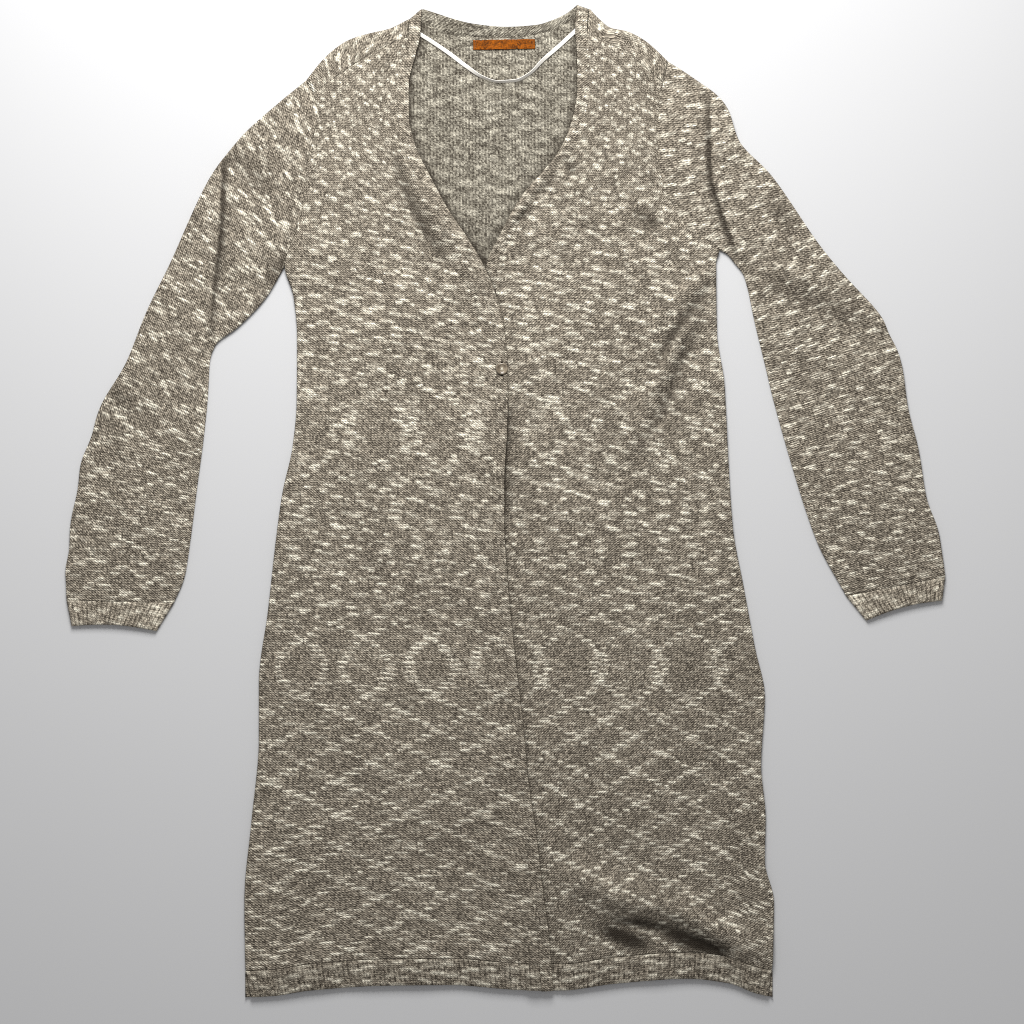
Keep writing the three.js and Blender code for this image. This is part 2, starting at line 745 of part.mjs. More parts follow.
// The neckband across the back, from its seam to its free edge.
function backNeckBand() {
  const { seam, free } = backNeckLines();
  const endInset = 0.004;
  const rows = [seamGap / bandWidth, 0.5, 1 - edgeRound / bandWidth, 1];
  const points = rows.flatMap((up) =>
    evenShares(neckSteps).map((share, column) => {
      const along = THREE.MathUtils.clamp(share, endInset, 1 - endInset);
      const place = betweenPoints(alongLine(seam, along), alongLine(free, along), up);
      const turned = up === 1 || column === 0 || column === neckSteps;
      return lowerPoint(place, turned ? edgeDrop : 0);
    }),
  );
  return clothWall("neckband_back", points, gridCells(rows.length, neckSteps + 1), knit);
}

// Points round one section of a flattened tube: over the top from its outer fold to its inner
// one, and back underneath. Place gives the point at a share of the way across.
function tubeSection(place, rise, shares, ribbed) {
  const middle = layer - seamGap / 2;
  const width = Math.hypot(place(1)[0] - place(0)[0], place(1)[1] - place(0)[1]);
  const inset = Math.min(0.2, wall / width);
  const insidePlace = (share) => place(THREE.MathUtils.clamp(share, 1.5 * inset, 1 - 1.5 * inset));
  const over = shares.map((share, i) => {
    const air = seamGap + rise * Math.sin(Math.PI * share) + foldHeight(...place(share));
    const top = wall + air + wall + (ribbed && i % 2 === 1 ? ribRise : 0);
    return { outer: [...place(share), top], inner: [...insidePlace(share), wall + air] };
  });
  const under = [...shares].reverse().map((share) => ({
    outer: [...place(share), 0],
    inner: [...insidePlace(share), wall],
  }));
  const outerFold = { outer: [...place(0), middle], inner: [...place(inset), middle] };
  const innerFold = { outer: [...place(1), middle], inner: [...place(1 - inset), middle] };
  return [outerFold, ...over, innerFold, ...under];
}

// Shares across a sleeve of the points on its armhole, with one more beside each fold.
function armholeShares(side) {
  const [, top] = side.foldAt(0);
  const levels = armholeLine(side).map(([, y]) => y).reverse();
  const shares = levels.map((y) => (top - y) / (top - side.underarm));
  return [shares[0] / 2, ...shares.slice(0, -1), (1 + shares[shares.length - 2]) / 2];
}

// A sleeve from the armhole to the cuff's seam, a flattened tube that is open at both ends.
function sleeve(name, stations, side) {
  const at = pathThrough(stations, ["outerX", "outerY", "innerX", "innerY", "rise"]);
  const knots = [side.foldAt(0), ...armholeLine(side).reverse()];
  const knotShares = knots.map(([, y]) => (knots[0][1] - y) / (knots[0][1] - side.underarm));
  const armholeAt = curveOfPoints(knotShares, knots);
  const start = [knots[0], knots[knots.length - 1]];
  const shares = armholeShares(side);
  const points = evenShares(sleeveSteps).flatMap((along) => {
    const [outerX, outerY, innerX, innerY, rise] = at(along);
    const fade = Math.max(0, 1 - along / armholeFade);
    const place = (share) => {
      const [armholeX, armholeY] = armholeAt(share);
      const [straightX, straightY] = betweenPoints(start[0], start[1], share);
      const [x, y] = betweenPoints([outerX, outerY], [innerX, innerY], share);
      const clear = 2 * seamGap * side.outward * fade;
      return [x + (armholeX - straightX) * fade + clear, y + (armholeY - straightY) * fade];
    };
    return tubeSection(place, rise, shares, false);
  });
  return clothWall(name, points, gridCells(sleeveSteps + 1, 2 * shares.length + 2, true), knit);
}

// A ribbed cuff from its seam with the sleeve to its open end.
function cuff(name, start, end) {
  const width = Math.hypot(start.outerX - start.innerX, start.outerY - start.innerY);
  const ribSteps = 2 * Math.round(width / ribPitch);
  const shares = evenShares(ribSteps).slice(1, -1);
  const rows = [seamGap / cuffHeight, 1 - hemTurn / cuffHeight, 1];
  const points = rows.flatMap((along) => {
    const place = (share) => {
      const from = betweenPoints([start.outerX, start.outerY], [start.innerX, start.innerY], share);
      const to = betweenPoints([end.outerX, end.outerY], [end.innerX, end.innerY], share);
      const [x, y] = betweenPoints(from, to, along);
      return [x, y + cuffBow * along * along * Math.sin(Math.PI * share)];
    };
    return tubeSection(place, between(start.rise, end.rise, along), shares, true);
  });
  return clothWall(name, points, gridCells(rows.length, 2 * shares.length + 2, true), ribKnit);
}

// The bare leather label under the neckband of the back.
function neckLabel() {
  const geometry = new THREE.BoxGeometry(label.width, label.height, label.thickness);
  const mesh = new THREE.Mesh(geometry, new THREE.MeshStandardMaterial(suede));
  mesh.name = "neck_label";
  mesh.position.set(label.x, label.y, layer + label.thickness / 2);
  mesh.rotation.z = label.turn;
  return mesh;
}

// The hanger tape, which hangs in a curve over the inside of the back.
function hangerTape() {
  const lineAt = pathThrough(tapeLine, ["x", "y"]);
  const near = 0.02;
  const points = evenShares(tapeSteps).flatMap((share) => {
    const place = new THREE.Vector2(...lineAt(share));
    const along = new THREE.Vector2(...lineAt(share + near)).sub(new THREE.Vector2(...lineAt(share - near)));
    const across = new THREE.Vector2(-along.y, along.x).setLength(tape.width / 2);
    return [-1, 1].map((hand) => {
      const { x, y } = place.clone().addScaledVector(across, hand);
      return { outer: [x, y, layer + tape.thickness], inner: [x, y, layer] };
    });
  });
  return clothWall("hanger_tape", points, gridCells(tapeSteps + 1, 2), satin);
}

// The button on its thread stem, which passes down through the buttonhole.
function frontButton() {
  const place = [button.x, button.y];
  const foot = leftFrontHeight(place) + wall + seamGap;
  const seat = rightFrontHeight(place) + wall + seamGap;
  const top = seat + button.thickness;
  const profile = [
    [0, foot],
    [button.stem, foot],
    [button.stem, seat],
    [button.radius - button.bevel, seat],
    [button.radius, seat + button.bevel],
    [button.radius, top - button.bevel],
    [button.radius - button.bevel, top],
    [button.dishRadius + button.bevel, top],
    [button.dishRadius, top - button.dish],
    [0, top - button.dish],
  ].map(([radius, height]) => new THREE.Vector2(radius, height));
  const geometry = new THREE.LatheGeometry(profile, button.segments);
  const mesh = new THREE.Mesh(geometry, new THREE.MeshStandardMaterial(resin));
  mesh.name = "button";
  mesh.position.set(button.x, button.y, 0);
  mesh.rotation.x = Math.PI / 2;
  return mesh;
}

// A geometry as a solid that can be cut.
function solidOf(geometry) {
  const plain = geometry.clone();
  plain.deleteAttribute("normal");
  plain.deleteAttribute("uv");
  const merged = mergeVertices(plain, 1e-4);
  const vertProperties = merged.attributes.position.array;
  const triVerts = new Uint32Array(merged.index.array);
  return new wasm.Manifold(new wasm.Mesh({ numProp: 3, vertProperties, triVerts }));
}

// The right band with its buttonhole, a slit along it under the button.
function withButtonhole(band) {
  const slit = new THREE.BoxGeometry(buttonhole.width, buttonhole.length, buttonhole.depth);
  slit.translate(button.x, button.y, 0);
  const cut = solidOf(band.geometry).subtract(solidOf(slit)).getMesh();
  band.geometry = new THREE.BufferGeometry();
  band.geometry.setAttribute("position", new THREE.Float32BufferAttribute(cut.vertProperties, 3));
  band.geometry.setIndex(Array.from(cut.triVerts));
  band.geometry.computeVertexNormals();
  return band;
}

const rightFrontSide = {
  panelName: "front_right",
  bandName: "band_right",
  hemName: "hem_front_right",
  outward: -1,
  sideAt: rightSideAt,
  edgeAt: rightEdgeAt,
  heightAt: rightFrontHeight,
  foldAt: pathThrough(rightFold, ["x", "y"]),
  underarm: 258,
  armholeTop: 447,
  neckCorner: 507,
  bandTop: 541,
  bandSlant: 12,
};
const leftFrontSide = {
  panelName: "front_left",
  bandName: "band_left",
  hemName: "hem_front_left",
  outward: 1,
  sideAt: leftSideAt,
  edgeAt: leftEdgeAt,
  heightAt: leftFrontHeight,
  foldAt: pathThrough(leftFold, ["x", "y"]),
  underarm: 276,
  armholeTop: 459,
  neckCorner: 514,
  bandTop: 545.5,
  bandSlant: 5,
};

const cardigan = new THREE.Group();
cardigan.add(backPanel(), backHem(), backNeckBand());
for (const side of [rightFrontSide, leftFrontSide]) cardigan.add(frontPanel(side), frontHem(side));
cardigan.add(withButtonhole(frontBand(rightFrontSide)), frontBand(leftFrontSide));
cardigan.add(sleeve("sleeve_right", rightSleeve, rightFrontSide));
cardigan.add(sleeve("sleeve_left", leftSleeve, leftFrontSide));
cardigan.add(cuff("cuff_right", rightSleeve[rightSleeve.length - 1], rightCuffEnd));
cardigan.add(cuff("cuff_left", leftSleeve[leftSleeve.length - 1], leftCuffEnd));
cardigan.add(neckLabel(), hangerTape(), frontButton());

export default cardigan;
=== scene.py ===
"""Dresses the frame of a long knitted cardigan that lies flat, and sets up its picture.

Lengths in tables are millimetres of the laid garment, seen from above: x to the right, y from the
hem to the neck and z up from the surface. Meshes are in metres. Right and left name the wearer's
side, so the right front is the one at negative x.
"""

import logging
import math
from dataclasses import dataclass
from enum import Enum
from typing import Callable, NamedTuple, Sequence

import bmesh
import bpy
import numpy as np
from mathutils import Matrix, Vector


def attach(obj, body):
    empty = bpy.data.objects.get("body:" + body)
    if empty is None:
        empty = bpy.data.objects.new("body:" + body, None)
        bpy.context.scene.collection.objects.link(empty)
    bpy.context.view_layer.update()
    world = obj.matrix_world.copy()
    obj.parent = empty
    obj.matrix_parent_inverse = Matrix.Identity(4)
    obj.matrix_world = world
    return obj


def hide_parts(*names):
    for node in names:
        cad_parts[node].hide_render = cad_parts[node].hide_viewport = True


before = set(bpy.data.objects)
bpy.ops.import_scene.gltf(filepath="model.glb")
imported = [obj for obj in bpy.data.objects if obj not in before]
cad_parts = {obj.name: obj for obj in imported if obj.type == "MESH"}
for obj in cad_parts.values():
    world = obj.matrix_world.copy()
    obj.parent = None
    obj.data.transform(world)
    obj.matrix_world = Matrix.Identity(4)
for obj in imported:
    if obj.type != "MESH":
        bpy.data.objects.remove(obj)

log = logging.getLogger("cardigan")

MM = 0.001

# Sizes of the cloth and its strips.
WALL = 2.0
LAYER = 2.3
BAND_WIDTH = 13.0
OVERLAP = 17.0
HEM_HEIGHT = 29.0
CUFF_HEIGHT = 28.0
RIB_PITCH = 5.6
WALE = 3.3
COURSE = 2.6

# Level from which the body's rows are counted, and how far above it they still follow the hem.
ROWS_START = -506.0
ROWS_SETTLE = 250.0

# Level at which a front's wales run straight up, and where a sleeve's cloth turns underneath.
WALES_START = -24.0
SLEEVE_TURN = 180.0

# Levels between which the painted shadow beside the right front's edge grows strong under the button, and
# between which it fades again.
GAP_SHADOW_GROWS = (-30.0, 0.0)
GAP_SHADOW_FADES = (92.0, 112.0)

# How far up from the foot of the V the painted shadow beside the edge grows, and the height of a trough
# whose painted shade is full.
V_SHADE_GROWS = 23.0
DEEP_HOLLOW = -5.0

Array = np.ndarray


class Side(Enum):
    """The wearer's side, by the sign of x."""

    RIGHT = -1
    LEFT = 1


class Face(Enum):
    """The face of the knit that shows, as the share of the smooth face."""

    PURL = 0.0
    MIXED = 0.5
    SMOOTH = 1.0


class Station(NamedTuple):
    """A place on a line that runs up the garment."""

    y: float
    x: float


class Spot(NamedTuple):
    """A place on a line that runs any way."""

    x: float
    y: float


class Crest(NamedTuple):
    """A place on a fold and the fold's height there, below zero for a trough."""

    x: float
    y: float
    height: float


class Section(NamedTuple):
    """A section of a sleeve: its outer fold, its inner fold and the air in it."""

    outer_x: float
    outer_y: float
    inner_x: float
    inner_y: float
    rise: float


@dataclass(frozen=True)
class Fold:
    """A soft ridge or trough, with how far it reaches to the left and the right of its line."""

    left: float
    right: float
    line: tuple[Crest, ...]


RIGHT_SIDE = (
    Station(-546, -280), Station(-510, -286), Station(-440, -287), Station(-350, -279),
    Station(-260, -271), Station(-200, -271), Station(-120, -261), Station(-40, -252),
    Station(10, -245), Station(60, -234), Station(110, -229.5), Station(180, -229),
    Station(225, -233), Station(258, -242.5), Station(270, -240), Station(283, -235),
    Station(296, -229.5), Station(312, -225), Station(356, -219.5), Station(401, -211),
    Station(425, -206), Station(445, -210), Station(462, -219.5),
)
LEFT_SIDE = (
    Station(-546, 289), Station(-500, 294), Station(-440, 295), Station(-395, 285),
    Station(-350, 286), Station(-290, 281), Station(-215, 285), Station(-160, 274),
    Station(-90, 261), Station(-30, 250), Station(45, 245), Station(130, 240.5),
    Station(185, 232.5), Station(262, 231.5), Station(276, 235), Station(280, 232.5),
    Station(285, 225), Station(292, 213), Station(302, 198), Station(325, 184),
    Station(347, 173.5), Station(388, 167), Station(435, 169), Station(483, 178.7),
)
RIGHT_EDGE = (
    Station(-546, 53), Station(-478, 48), Station(-418, 40), Station(-373, 35),
    Station(-308, 25.5), Station(-240, 19), Station(-144, 8), Station(-75, 1.7),
    Station(-24, -1), Station(23, -1), Station(67, 1.5), Station(111, 2.8),
    Station(147, 2.6), Station(172, 0.8), Station(201, -3), Station(223, -9.4),
    Station(252, -20.4), Station(282, -37), Station(323, -64), Station(355, -81.5),
    Station(392, -99), Station(420, -105.5), Station(456, -106), Station(490, -98.5),
    Station(512, -93.5), Station(541, -92),
)
LEFT_V_EDGE = (
    Station(205, -20.5), Station(240, -24), Station(264, -20), Station(298, -3.5),
    Station(318, 7), Station(341, 22), Station(362, 41), Station(383, 57.5),
    Station(408, 69.5), Station(430, 75.8), Station(455, 78.8), Station(485, 78.6),
    Station(519, 76.5), Station(545.5, 78.5),
)
RIGHT_FOLD = (
    Spot(-219.5, 462), Spot(-201, 485), Spot(-189, 496), Spot(-172, 507), Spot(-150, 514),
    Spot(-128, 519), Spot(-106.5, 529.5),
)
LEFT_FOLD = (
    Spot(178.7, 483), Spot(165.5, 496), Spot(152, 507), Spot(133, 516.5), Spot(116, 520),
    Spot(104, 529), Spot(92.5, 541),
)
NECK_SEAM = (
    Spot(-106.5, 529.5), Spot(-88.5, 524.5), Spot(-72, 515.5), Spot(-45, 510.5), Spot(0, 509),
    Spot(35, 513), Spot(57, 520), Spot(73.5, 529.5), Spot(92.5, 541),
)
NECK_FREE = (
    Spot(-91, 541), Spot(-78, 537), Spot(-60, 531), Spot(-36, 525), Spot(0, 521.5),
    Spot(33, 523.5), Spot(52, 529), Spot(66, 535.5), Spot(79, 545.5),
)
HEM_LINE = (
    Spot(-290, -545.8), Spot(-255, -544), Spot(-215, -538), Spot(-130, -532.5), Spot(-60, -532),
    Spot(20, -537.5), Spot(60, -538), Spot(120, -530.5), Spot(200, -525), Spot(245, -530),
    Spot(275, -541), Spot(296, -546),
)
RIGHT_SLEEVE = (
    Section(-219.5, 462, -242.5, 258, 0.4), Section(-271, 419, -263.5, 223, 1.0),
    Section(-312, 375, -294, 191, 1.4), Section(-347, 311, -318.5, 171.5, 1.8),
    Section(-380, 237.5, -325, 152, 2.0), Section(-416.5, 157, -327, 116.5, 2.0),
    Section(-452.5, 83.5, -332, 67, 2.0), Section(-470, 21, -339, 14.5, 2.0),
    Section(-480, -48.5, -347, -48.5, 1.8), Section(-483.5, -85, -352.5, -82.5, 1.4),
    Section(-482.5, -109, -364.5, -112, 0.8),
)
LEFT_SLEEVE = (
    Section(178.7, 483, 235, 276, 0.4), Section(214, 460, 243, 271.5, 1.0),
    Section(243.5, 433.5, 252.5, 260.5, 1.4), Section(256, 397, 261, 249.5, 1.6),
    Section(289, 363, 266, 234, 1.8), Section(337, 291.5, 273.5, 198, 2.0),
    Section(404, 213.5, 285.5, 148.5, 2.0), Section(427.5, 174, 293, 116.5, 2.0),
    Section(447, 87, 311, 51.5, 2.0), Section(465, -1, 330.5, -12, 2.0),
    Section(478, -43, 344, -48.5, 1.6), Section(483.5, -83.5, 374.5, -104.5, 0.8),
)
RIGHT_CUFF_END = Section(-477, -137.5, -383.5, -143, 0.6)
LEFT_CUFF_END = Section(480, -109.5, 396.5, -131.5, 0.6)
# Shade painted on the sleeves; a crest's height is how dim it paints.
PAINTED_SLEEVE_SHADE = (
    # painted shade beside the pleat of the right sleeve
    Fold(5, 1.4, (
        Crest(-304, 392, 0.2), Crest(-310, 368, 0.75), Crest(-312, 310, 0.9), Crest(-315, 274, 0.85),
        Crest(-319, 244, 0.7), Crest(-326, 172, 0.25),
    )),
    # painted shade beside the pleat of the left sleeve
    Fold(1.4, 5, (
        Crest(224, 440, 0.4), Crest(224, 393, 0.8), Crest(226, 351, 0.85), Crest(242, 301, 0.8),
        Crest(256, 268, 0.3),
    )),
    # painted shade of dents in the right sleeve
    Fold(13, 13, (Crest(-298, 378, 0.22), Crest(-268, 350, 0.3))),
    Fold(11, 11, (Crest(-430, 118, 0.25), Crest(-404, 104, 0.2))),
    # painted shade of dents in the left sleeve
    Fold(11, 11, (Crest(291, 240, 0.25), Crest(330, 224, 0.35), Crest(384, 204, 0.28))),
    Fold(10, 10, (Crest(296, 324, 0.25), Crest(312, 306, 0.25))),
    # painted shade in the right underarm
    Fold(9, 9, (Crest(-240, 262, 0.6), Crest(-258, 244, 0.35))),
)
RIGHT_SPINE = (
    Spot(-165, 470), Spot(-222, 382), Spot(-274, 290), Spot(-320, 205), Spot(-362, 120),
    Spot(-386, 62), Spot(-397, 0), Spot(-402, -55), Spot(-402, -112),
)
LEFT_SPINE = (
    Spot(150, 470), Spot(208, 385), Spot(262, 305), Spot(312, 228), Spot(352, 155),
    Spot(377, 80), Spot(394, 0), Spot(402, -50), Spot(411, -96),
)
TAPE_LINE = (
    Spot(-103, 518.5), Spot(-80, 504), Spot(-62, 492), Spot(-43, 477.5), Spot(-26, 466),
    Spot(-8, 460.5), Spot(10, 461.5), Spot(26, 469), Spot(42, 485), Spot(60, 501),
    Spot(87, 526),
)

# Folds of the fronts. A comment names the folds under it.
BODY_FOLDS = (
    # roll above the left hem
    Fold(22, 20, (
        Crest(58, -396, 1), Crest(84, -414, 8), Crest(112, -430, 13), Crest(140, -438, 14),
        Crest(168, -443, 12),
    )),
    # its far end, which runs down to the side
    Fold(18, 12, (
        Crest(148, -440, 9), Crest(178, -446, 13), Crest(205, -458, 14), Crest(236, -476, 13),
        Crest(262, -490, 9), Crest(290, -500, 2),
    )),
    # hollows under the roll
    Fold(7, 8, (Crest(108, -471, -3), Crest(122, -476, -6.8), Crest(142, -484, -6.4), Crest(152, -487, -3))),
    Fold(5, 6, (Crest(122, -462, -2), Crest(146, -463, -4), Crest(176, -470, -3.4))),
    # hollows under its far end
    Fold(7, 8, (Crest(176, -472, -3), Crest(190, -478, -6.8), Crest(212, -486, -6.8), Crest(238, -495, -4))),
    Fold(5, 6, (Crest(230, -492, -2.5), Crest(241, -506, -3))),
    # small ridges that cross them
    Fold(4, 4, (Crest(172, -452, 3), Crest(178, -474, 2))),
    Fold(4, 4, (Crest(116, -446, 2), Crest(118, -468, 1.2))),
    # second ridge between the two
    Fold(6, 8, (Crest(152, -446, 4), Crest(176, -454, 7), Crest(200, -468, 3))),
    # upper crease from the left underarm
    Fold(9, 8, (Crest(222, 250, 1), Crest(196, 228, 4.5), Crest(166, 196, 1))),
    # long crease from the left underarm
    Fold(9, 9, (
        Crest(212, 226, 1), Crest(185, 170, 4.8), Crest(160, 116, 4.6), Crest(126, 48, 0.5),
    )),
    # trough between them
    Fold(5, 5, (Crest(222, 236, -1.5), Crest(206, 214, -3), Crest(180, 178, -3.4), Crest(158, 140, -0.8))),
    # trough right of the long crease
    Fold(6, 6, (Crest(216, 204, -0.8), Crest(196, 160, -2.8), Crest(172, 100, -2.2), Crest(142, 46, -0.8))),
    # roll of cloth beside the V
    Fold(11, 10, (
        Crest(-118, 405, 1), Crest(-105, 365, 3.4), Crest(-76, 318, 5), Crest(-48, 272, 5),
        Crest(-26, 226, 3.4), Crest(-17, 190, 1),
    )),
    # gather beside that roll
    Fold(6, 7, (
        Crest(-122, 378, -0.8), Crest(-108, 338, -2.8), Crest(-88, 300, -3), Crest(-66, 262, -1),
    )),
    # rolled edge of the left front beside the V
    Fold(6, 7, (Crest(58, 388, 1), Crest(38, 354, 3), Crest(16, 320, 3.2), Crest(-2, 296, 1.5))),
    # gathers behind that edge
    Fold(5, 5, (Crest(68, 374, -1.5), Crest(72, 366, -3), Crest(76, 360, -1))),
    Fold(4, 5, (Crest(56, 358, -1), Crest(44, 346, -3), Crest(34, 336, -1))),
    Fold(4, 5, (Crest(30, 324, -1), Crest(20, 314, -3.2), Crest(8, 303, -1))),
    # two dents in the left chest
    Fold(8, 8, (Crest(150, 314, -2.4), Crest(162, 306, -2.4))),
    Fold(6, 6, (Crest(88, 303, -1.4), Crest(98, 300, -1.4))),
    # creases across the right chest
    Fold(9, 9, (Crest(-150, 285, 0.8), Crest(-124, 232, 3.4), Crest(-102, 178, 0.8))),
    Fold(8, 8, (Crest(-118, 246, 0.4), Crest(-100, 205, 2.4), Crest(-90, 168, 0.4))),
)
HOLLOWS = tuple(fold for fold in BODY_FOLDS if fold.line[0].height < 0)
SLEEVE_FOLDS = (
    # pleat of the right sleeve
    Fold(3.2, 26, (
        Crest(-308, 392, 2), Crest(-314, 368, 4.6), Crest(-316, 310, 5.4), Crest(-319, 274, 5.2),
        Crest(-323, 244, 4.6), Crest(-330, 172, 2),
    )),
    # pleat of the left sleeve
    Fold(24, 3.2, (
        Crest(228, 440, 2.5), Crest(228, 393, 5), Crest(230, 351, 5.2), Crest(246, 301, 5),
        Crest(260, 268, 2),
    )),
    # dent above the left elbow
    Fold(10, 10, (Crest(290, 262, 1), Crest(322, 246, 4), Crest(356, 246, 1))),
)


def curve_through(keys: Sequence[float], values: Sequence[float]) -> Callable[[Array], Array]:
    """A smooth curve through points that never swings past them.

    Args:
        keys: Rising positions of the points.
        values: Their values.

    Returns:
        A function from positions to values.
    """
    at = np.asarray(keys, float)
    value = np.asarray(values, float)
    slope = np.diff(value) / np.diff(at)
    before = np.concatenate([slope[:1], slope])
    after = np.concatenate([slope, slope[-1:]])
    total = before + after
    mean = 2 * before * after / np.where(total == 0, 1, total)
    tangent = np.where(before * after <= 0, 0, mean)

    def read(position: Array) -> Array:
        """The curve's values at these positions.

        Args:
            position: Where to read the curve.

        Returns:
            The value at each position.
        """
        position = np.asarray(position, float)
        i = np.clip(np.searchsorted(at, position, side="right") - 1, 0, len(at) - 2)
        span = at[i + 1] - at[i]
        t = np.clip((position - at[i]) / span, 0, 1)
        rest = 1 - t
        return (
            value[i] * (1 + 2 * t) * rest**2
            + value[i + 1] * (3 - 2 * t) * t**2
            + tangent[i] * span * t * rest**2
            - tangent[i + 1] * span * t**2 * rest
        )

    return read


def path_through(rows: Sequence[tuple[float, ...]]) -> Callable[[Array], list[Array]]:
    """Smooth curves through every column of a table, by the share of its rows gone by.

    Args:
        rows: The table's rows.

    Returns:
        A function from shares to one array of values for each column.
    """
    shares = np.linspace(0, 1, len(rows))
    curves = [curve_through(shares, column) for column in zip(*rows)]
    return lambda share: [curve(share) for curve in curves]


def trace(line: Sequence[tuple[float, ...]], share: Array) -> Array:
    """Points of a smooth line at these shares of the way through it."""
    return np.stack(path_through(line)(share), axis=-1)


def smooth(value: Array, low: float, high: float) -> Array:
    """0 below low, 1 above high, and a soft step between them."""
    t = np.clip((value - low) / (high - low), 0, 1)
    return t * t * (3 - 2 * t)


def blend(a: Array, b: Array, t: Array) -> Array:
    """The value at share t of the way from a to b."""
    return a + (b - a) * t


right_side_at = curve_through(*zip(*RIGHT_SIDE))
left_side_at = curve_through(*zip(*LEFT_SIDE))
right_edge_at = curve_through(*zip(*RIGHT_EDGE))
left_v_at = curve_through(*zip(*LEFT_V_EDGE))
hem_at = curve_through(*zip(*HEM_LINE))
V_BOTTOM = LEFT_V_EDGE[0].y


def left_edge_at(y: Array) -> Array:
    """Free edge of the left front, hidden under the right one below the V."""
    return np.where(y < V_BOTTOM, right_edge_at(y) - OVERLAP, left_v_at(y))


def fold_height(x: Array, y: Array, folds: Sequence[Fold]) -> Array:
    """Height that folds add: the highest ridge there, less the deepest trough.

    Args:
        x: The places' x.
        y: Their y.
        folds: The folds to look at.

    Returns:
        The height at each place.
    """
    ridge = np.zeros_like(x)
    trough = np.zeros_like(x)
    for fold in folds:
        for start, end in zip(fold.line, fold.line[1:]):
            along_x, along_y = end.x - start.x, end.y - start.y
            square = along_x**2 + along_y**2
            t = np.clip(((x - start.x) * along_x + (y - start.y) * along_y) / square, 0, 1)
            away_x = x - start.x - along_x * t
            away_y = y - start.y - along_y * t
            on_left = along_x * away_y - along_y * away_x > 0
            reach = np.hypot(away_x, away_y) / np.where(on_left, fold.left, fold.right)
            height = blend(start.height, end.height, t) * np.exp(-(reach**2))
            ridge = np.maximum(ridge, height)
            trough = np.minimum(trough, height)
    return ridge + trough


def unevenness(x: Array, y: Array, size: float, height: float) -> Array:
    """Soft waves of cloth that doesn't lie quite flat.

    Args:
        x: The places' x.
        y: Their y.
        size: About how far apart the waves are.
        height: About how tall they get.

    Returns:
        The height at each place, above and below 0.
    """
    total = np.zeros_like(x)
    for i in range(7):
        turn = 0.7 + 2.399 * i
        pitch = size * (0.75 + 0.13 * i)
        phase = (x * math.cos(turn) + y * math.sin(turn)) * 2 * math.pi / pitch
        total += np.sin(phase + 1.3 * i + 0.8 * np.sin(phase * 0.37 + i))
    return total * height / 3.5


def air_under(x: Array, y: Array) -> Array:
    """Air under the fronts: none at a side, a little in the middle, and more by the neck.

    Args:
        x: The places' x.
        y: Their y.

    Returns:
        The height of the air at each place.
    """
    from_side = np.minimum(x - right_side_at(y), left_side_at(y) - x)
    by_neck = smooth(y, 470, 505) * smooth(x, -150, -115) * (1 - smooth(x, 85, 125))
    return 0.7 * smooth(from_side, 0, 45) + 2.0 * by_neck


def front_height(side: Side, x: Array, y: Array) -> Array:
    """Height of the underside of a front above the surface.

    Args:
        side: Whose side the front is on.
        x: The places' x.
        y: Their y.

    Returns:
        The height at each place.
    """
    waves = 0.5 + unevenness(x, y, 70, 0.55)
    lifted = air_under(x, y) + fold_height(x, y, BODY_FOLDS) + waves
    if side is Side.RIGHT:
        climb = smooth(x - left_edge_at(y), -17, -6)
        return LAYER + LAYER * climb + np.maximum(lifted, 0.2)
    clear = smooth(x - right_edge_at(y), 1, 22)
    return LAYER + np.maximum(lifted, 0.2) * clear


def side_at(side: Side, y: Array) -> Array:
    """Side seam and armhole of one side."""
    return right_side_at(y) if side is Side.RIGHT else left_side_at(y)


def dim_inside(x: Array, y: Array) -> Array:
    """Painted shade on the back's inside, beside the two edges of the V that lie over it.

    Args:
        x: The places' x.
        y: Their y.

    Returns:
        The dimness at each place.
    """
    beside_right = np.abs(x - edge_at(Side.RIGHT, y))
    beside_left = np.abs(edge_at(Side.LEFT, y) - x)
    return 0.8 * np.exp(-beside_right / 3.6) + 0.7 * np.exp(-beside_left / 3.6)


def dim_front(side: Side, x: Array, y: Array) -> Array:
    """Painted shade of a front in its troughs, and the painted shadow on the left one beside the edge over
    it.

    Args:
        side: Whose side the front is on.
        x: The places' x.
        y: Their y.

    Returns:
        The dimness at each place.
    """
    # painted shade in the fronts' troughs
    hollows = fold_height(x, y, HOLLOWS) / DEEP_HOLLOW
    if side is Side.RIGHT:
        return hollows
    # painted shadow line on the left front beside the right front's edge, strongest under the button
    above_foot = smooth(y, *GAP_SHADOW_GROWS)
    gap_shadow = above_foot * (1 - smooth(y, *GAP_SHADOW_FADES))
    by_v = smooth(y, V_BOTTOM, V_BOTTOM + V_SHADE_GROWS)
    depth = 0.05 + 0.9 * gap_shadow + 0.3 * (1 - above_foot) + 0.6 * by_v
    beside = np.maximum(x - edge_at(Side.RIGHT, y), 0)
    return hollows + depth * np.exp(-beside / (2.6 + 1.4 * gap_shadow))


def edge_at(side: Side, y: Array) -> Array:
    """Free edge of one front."""
    return right_edge_at(y) if side is Side.RIGHT else left_edge_at(y)


def beside_edge(side: Side, y: Array, distance: Array) -> tuple[Array, Array]:
    """Places on a front at a distance from its free edge.

    Args:
        side: Whose side the front is on.
        y: Levels on the edge.
        distance: How far into the front to go, square to the edge.

    Returns:
        The places' x and y.
    """
    slope = (edge_at(side, y + 2) - edge_at(side, y - 2)) / 4
    away = side.value * distance / np.hypot(1, slope)
    return edge_at(side, y) + away, y - away * slope


def rounded(distance: Array, radius: float) -> Array:
    """0 on a rounded edge, 1 where the cloth is level again."""
    t = 1 - np.clip(distance / radius, 0, 1)
    return np.sqrt(1 - t * t)


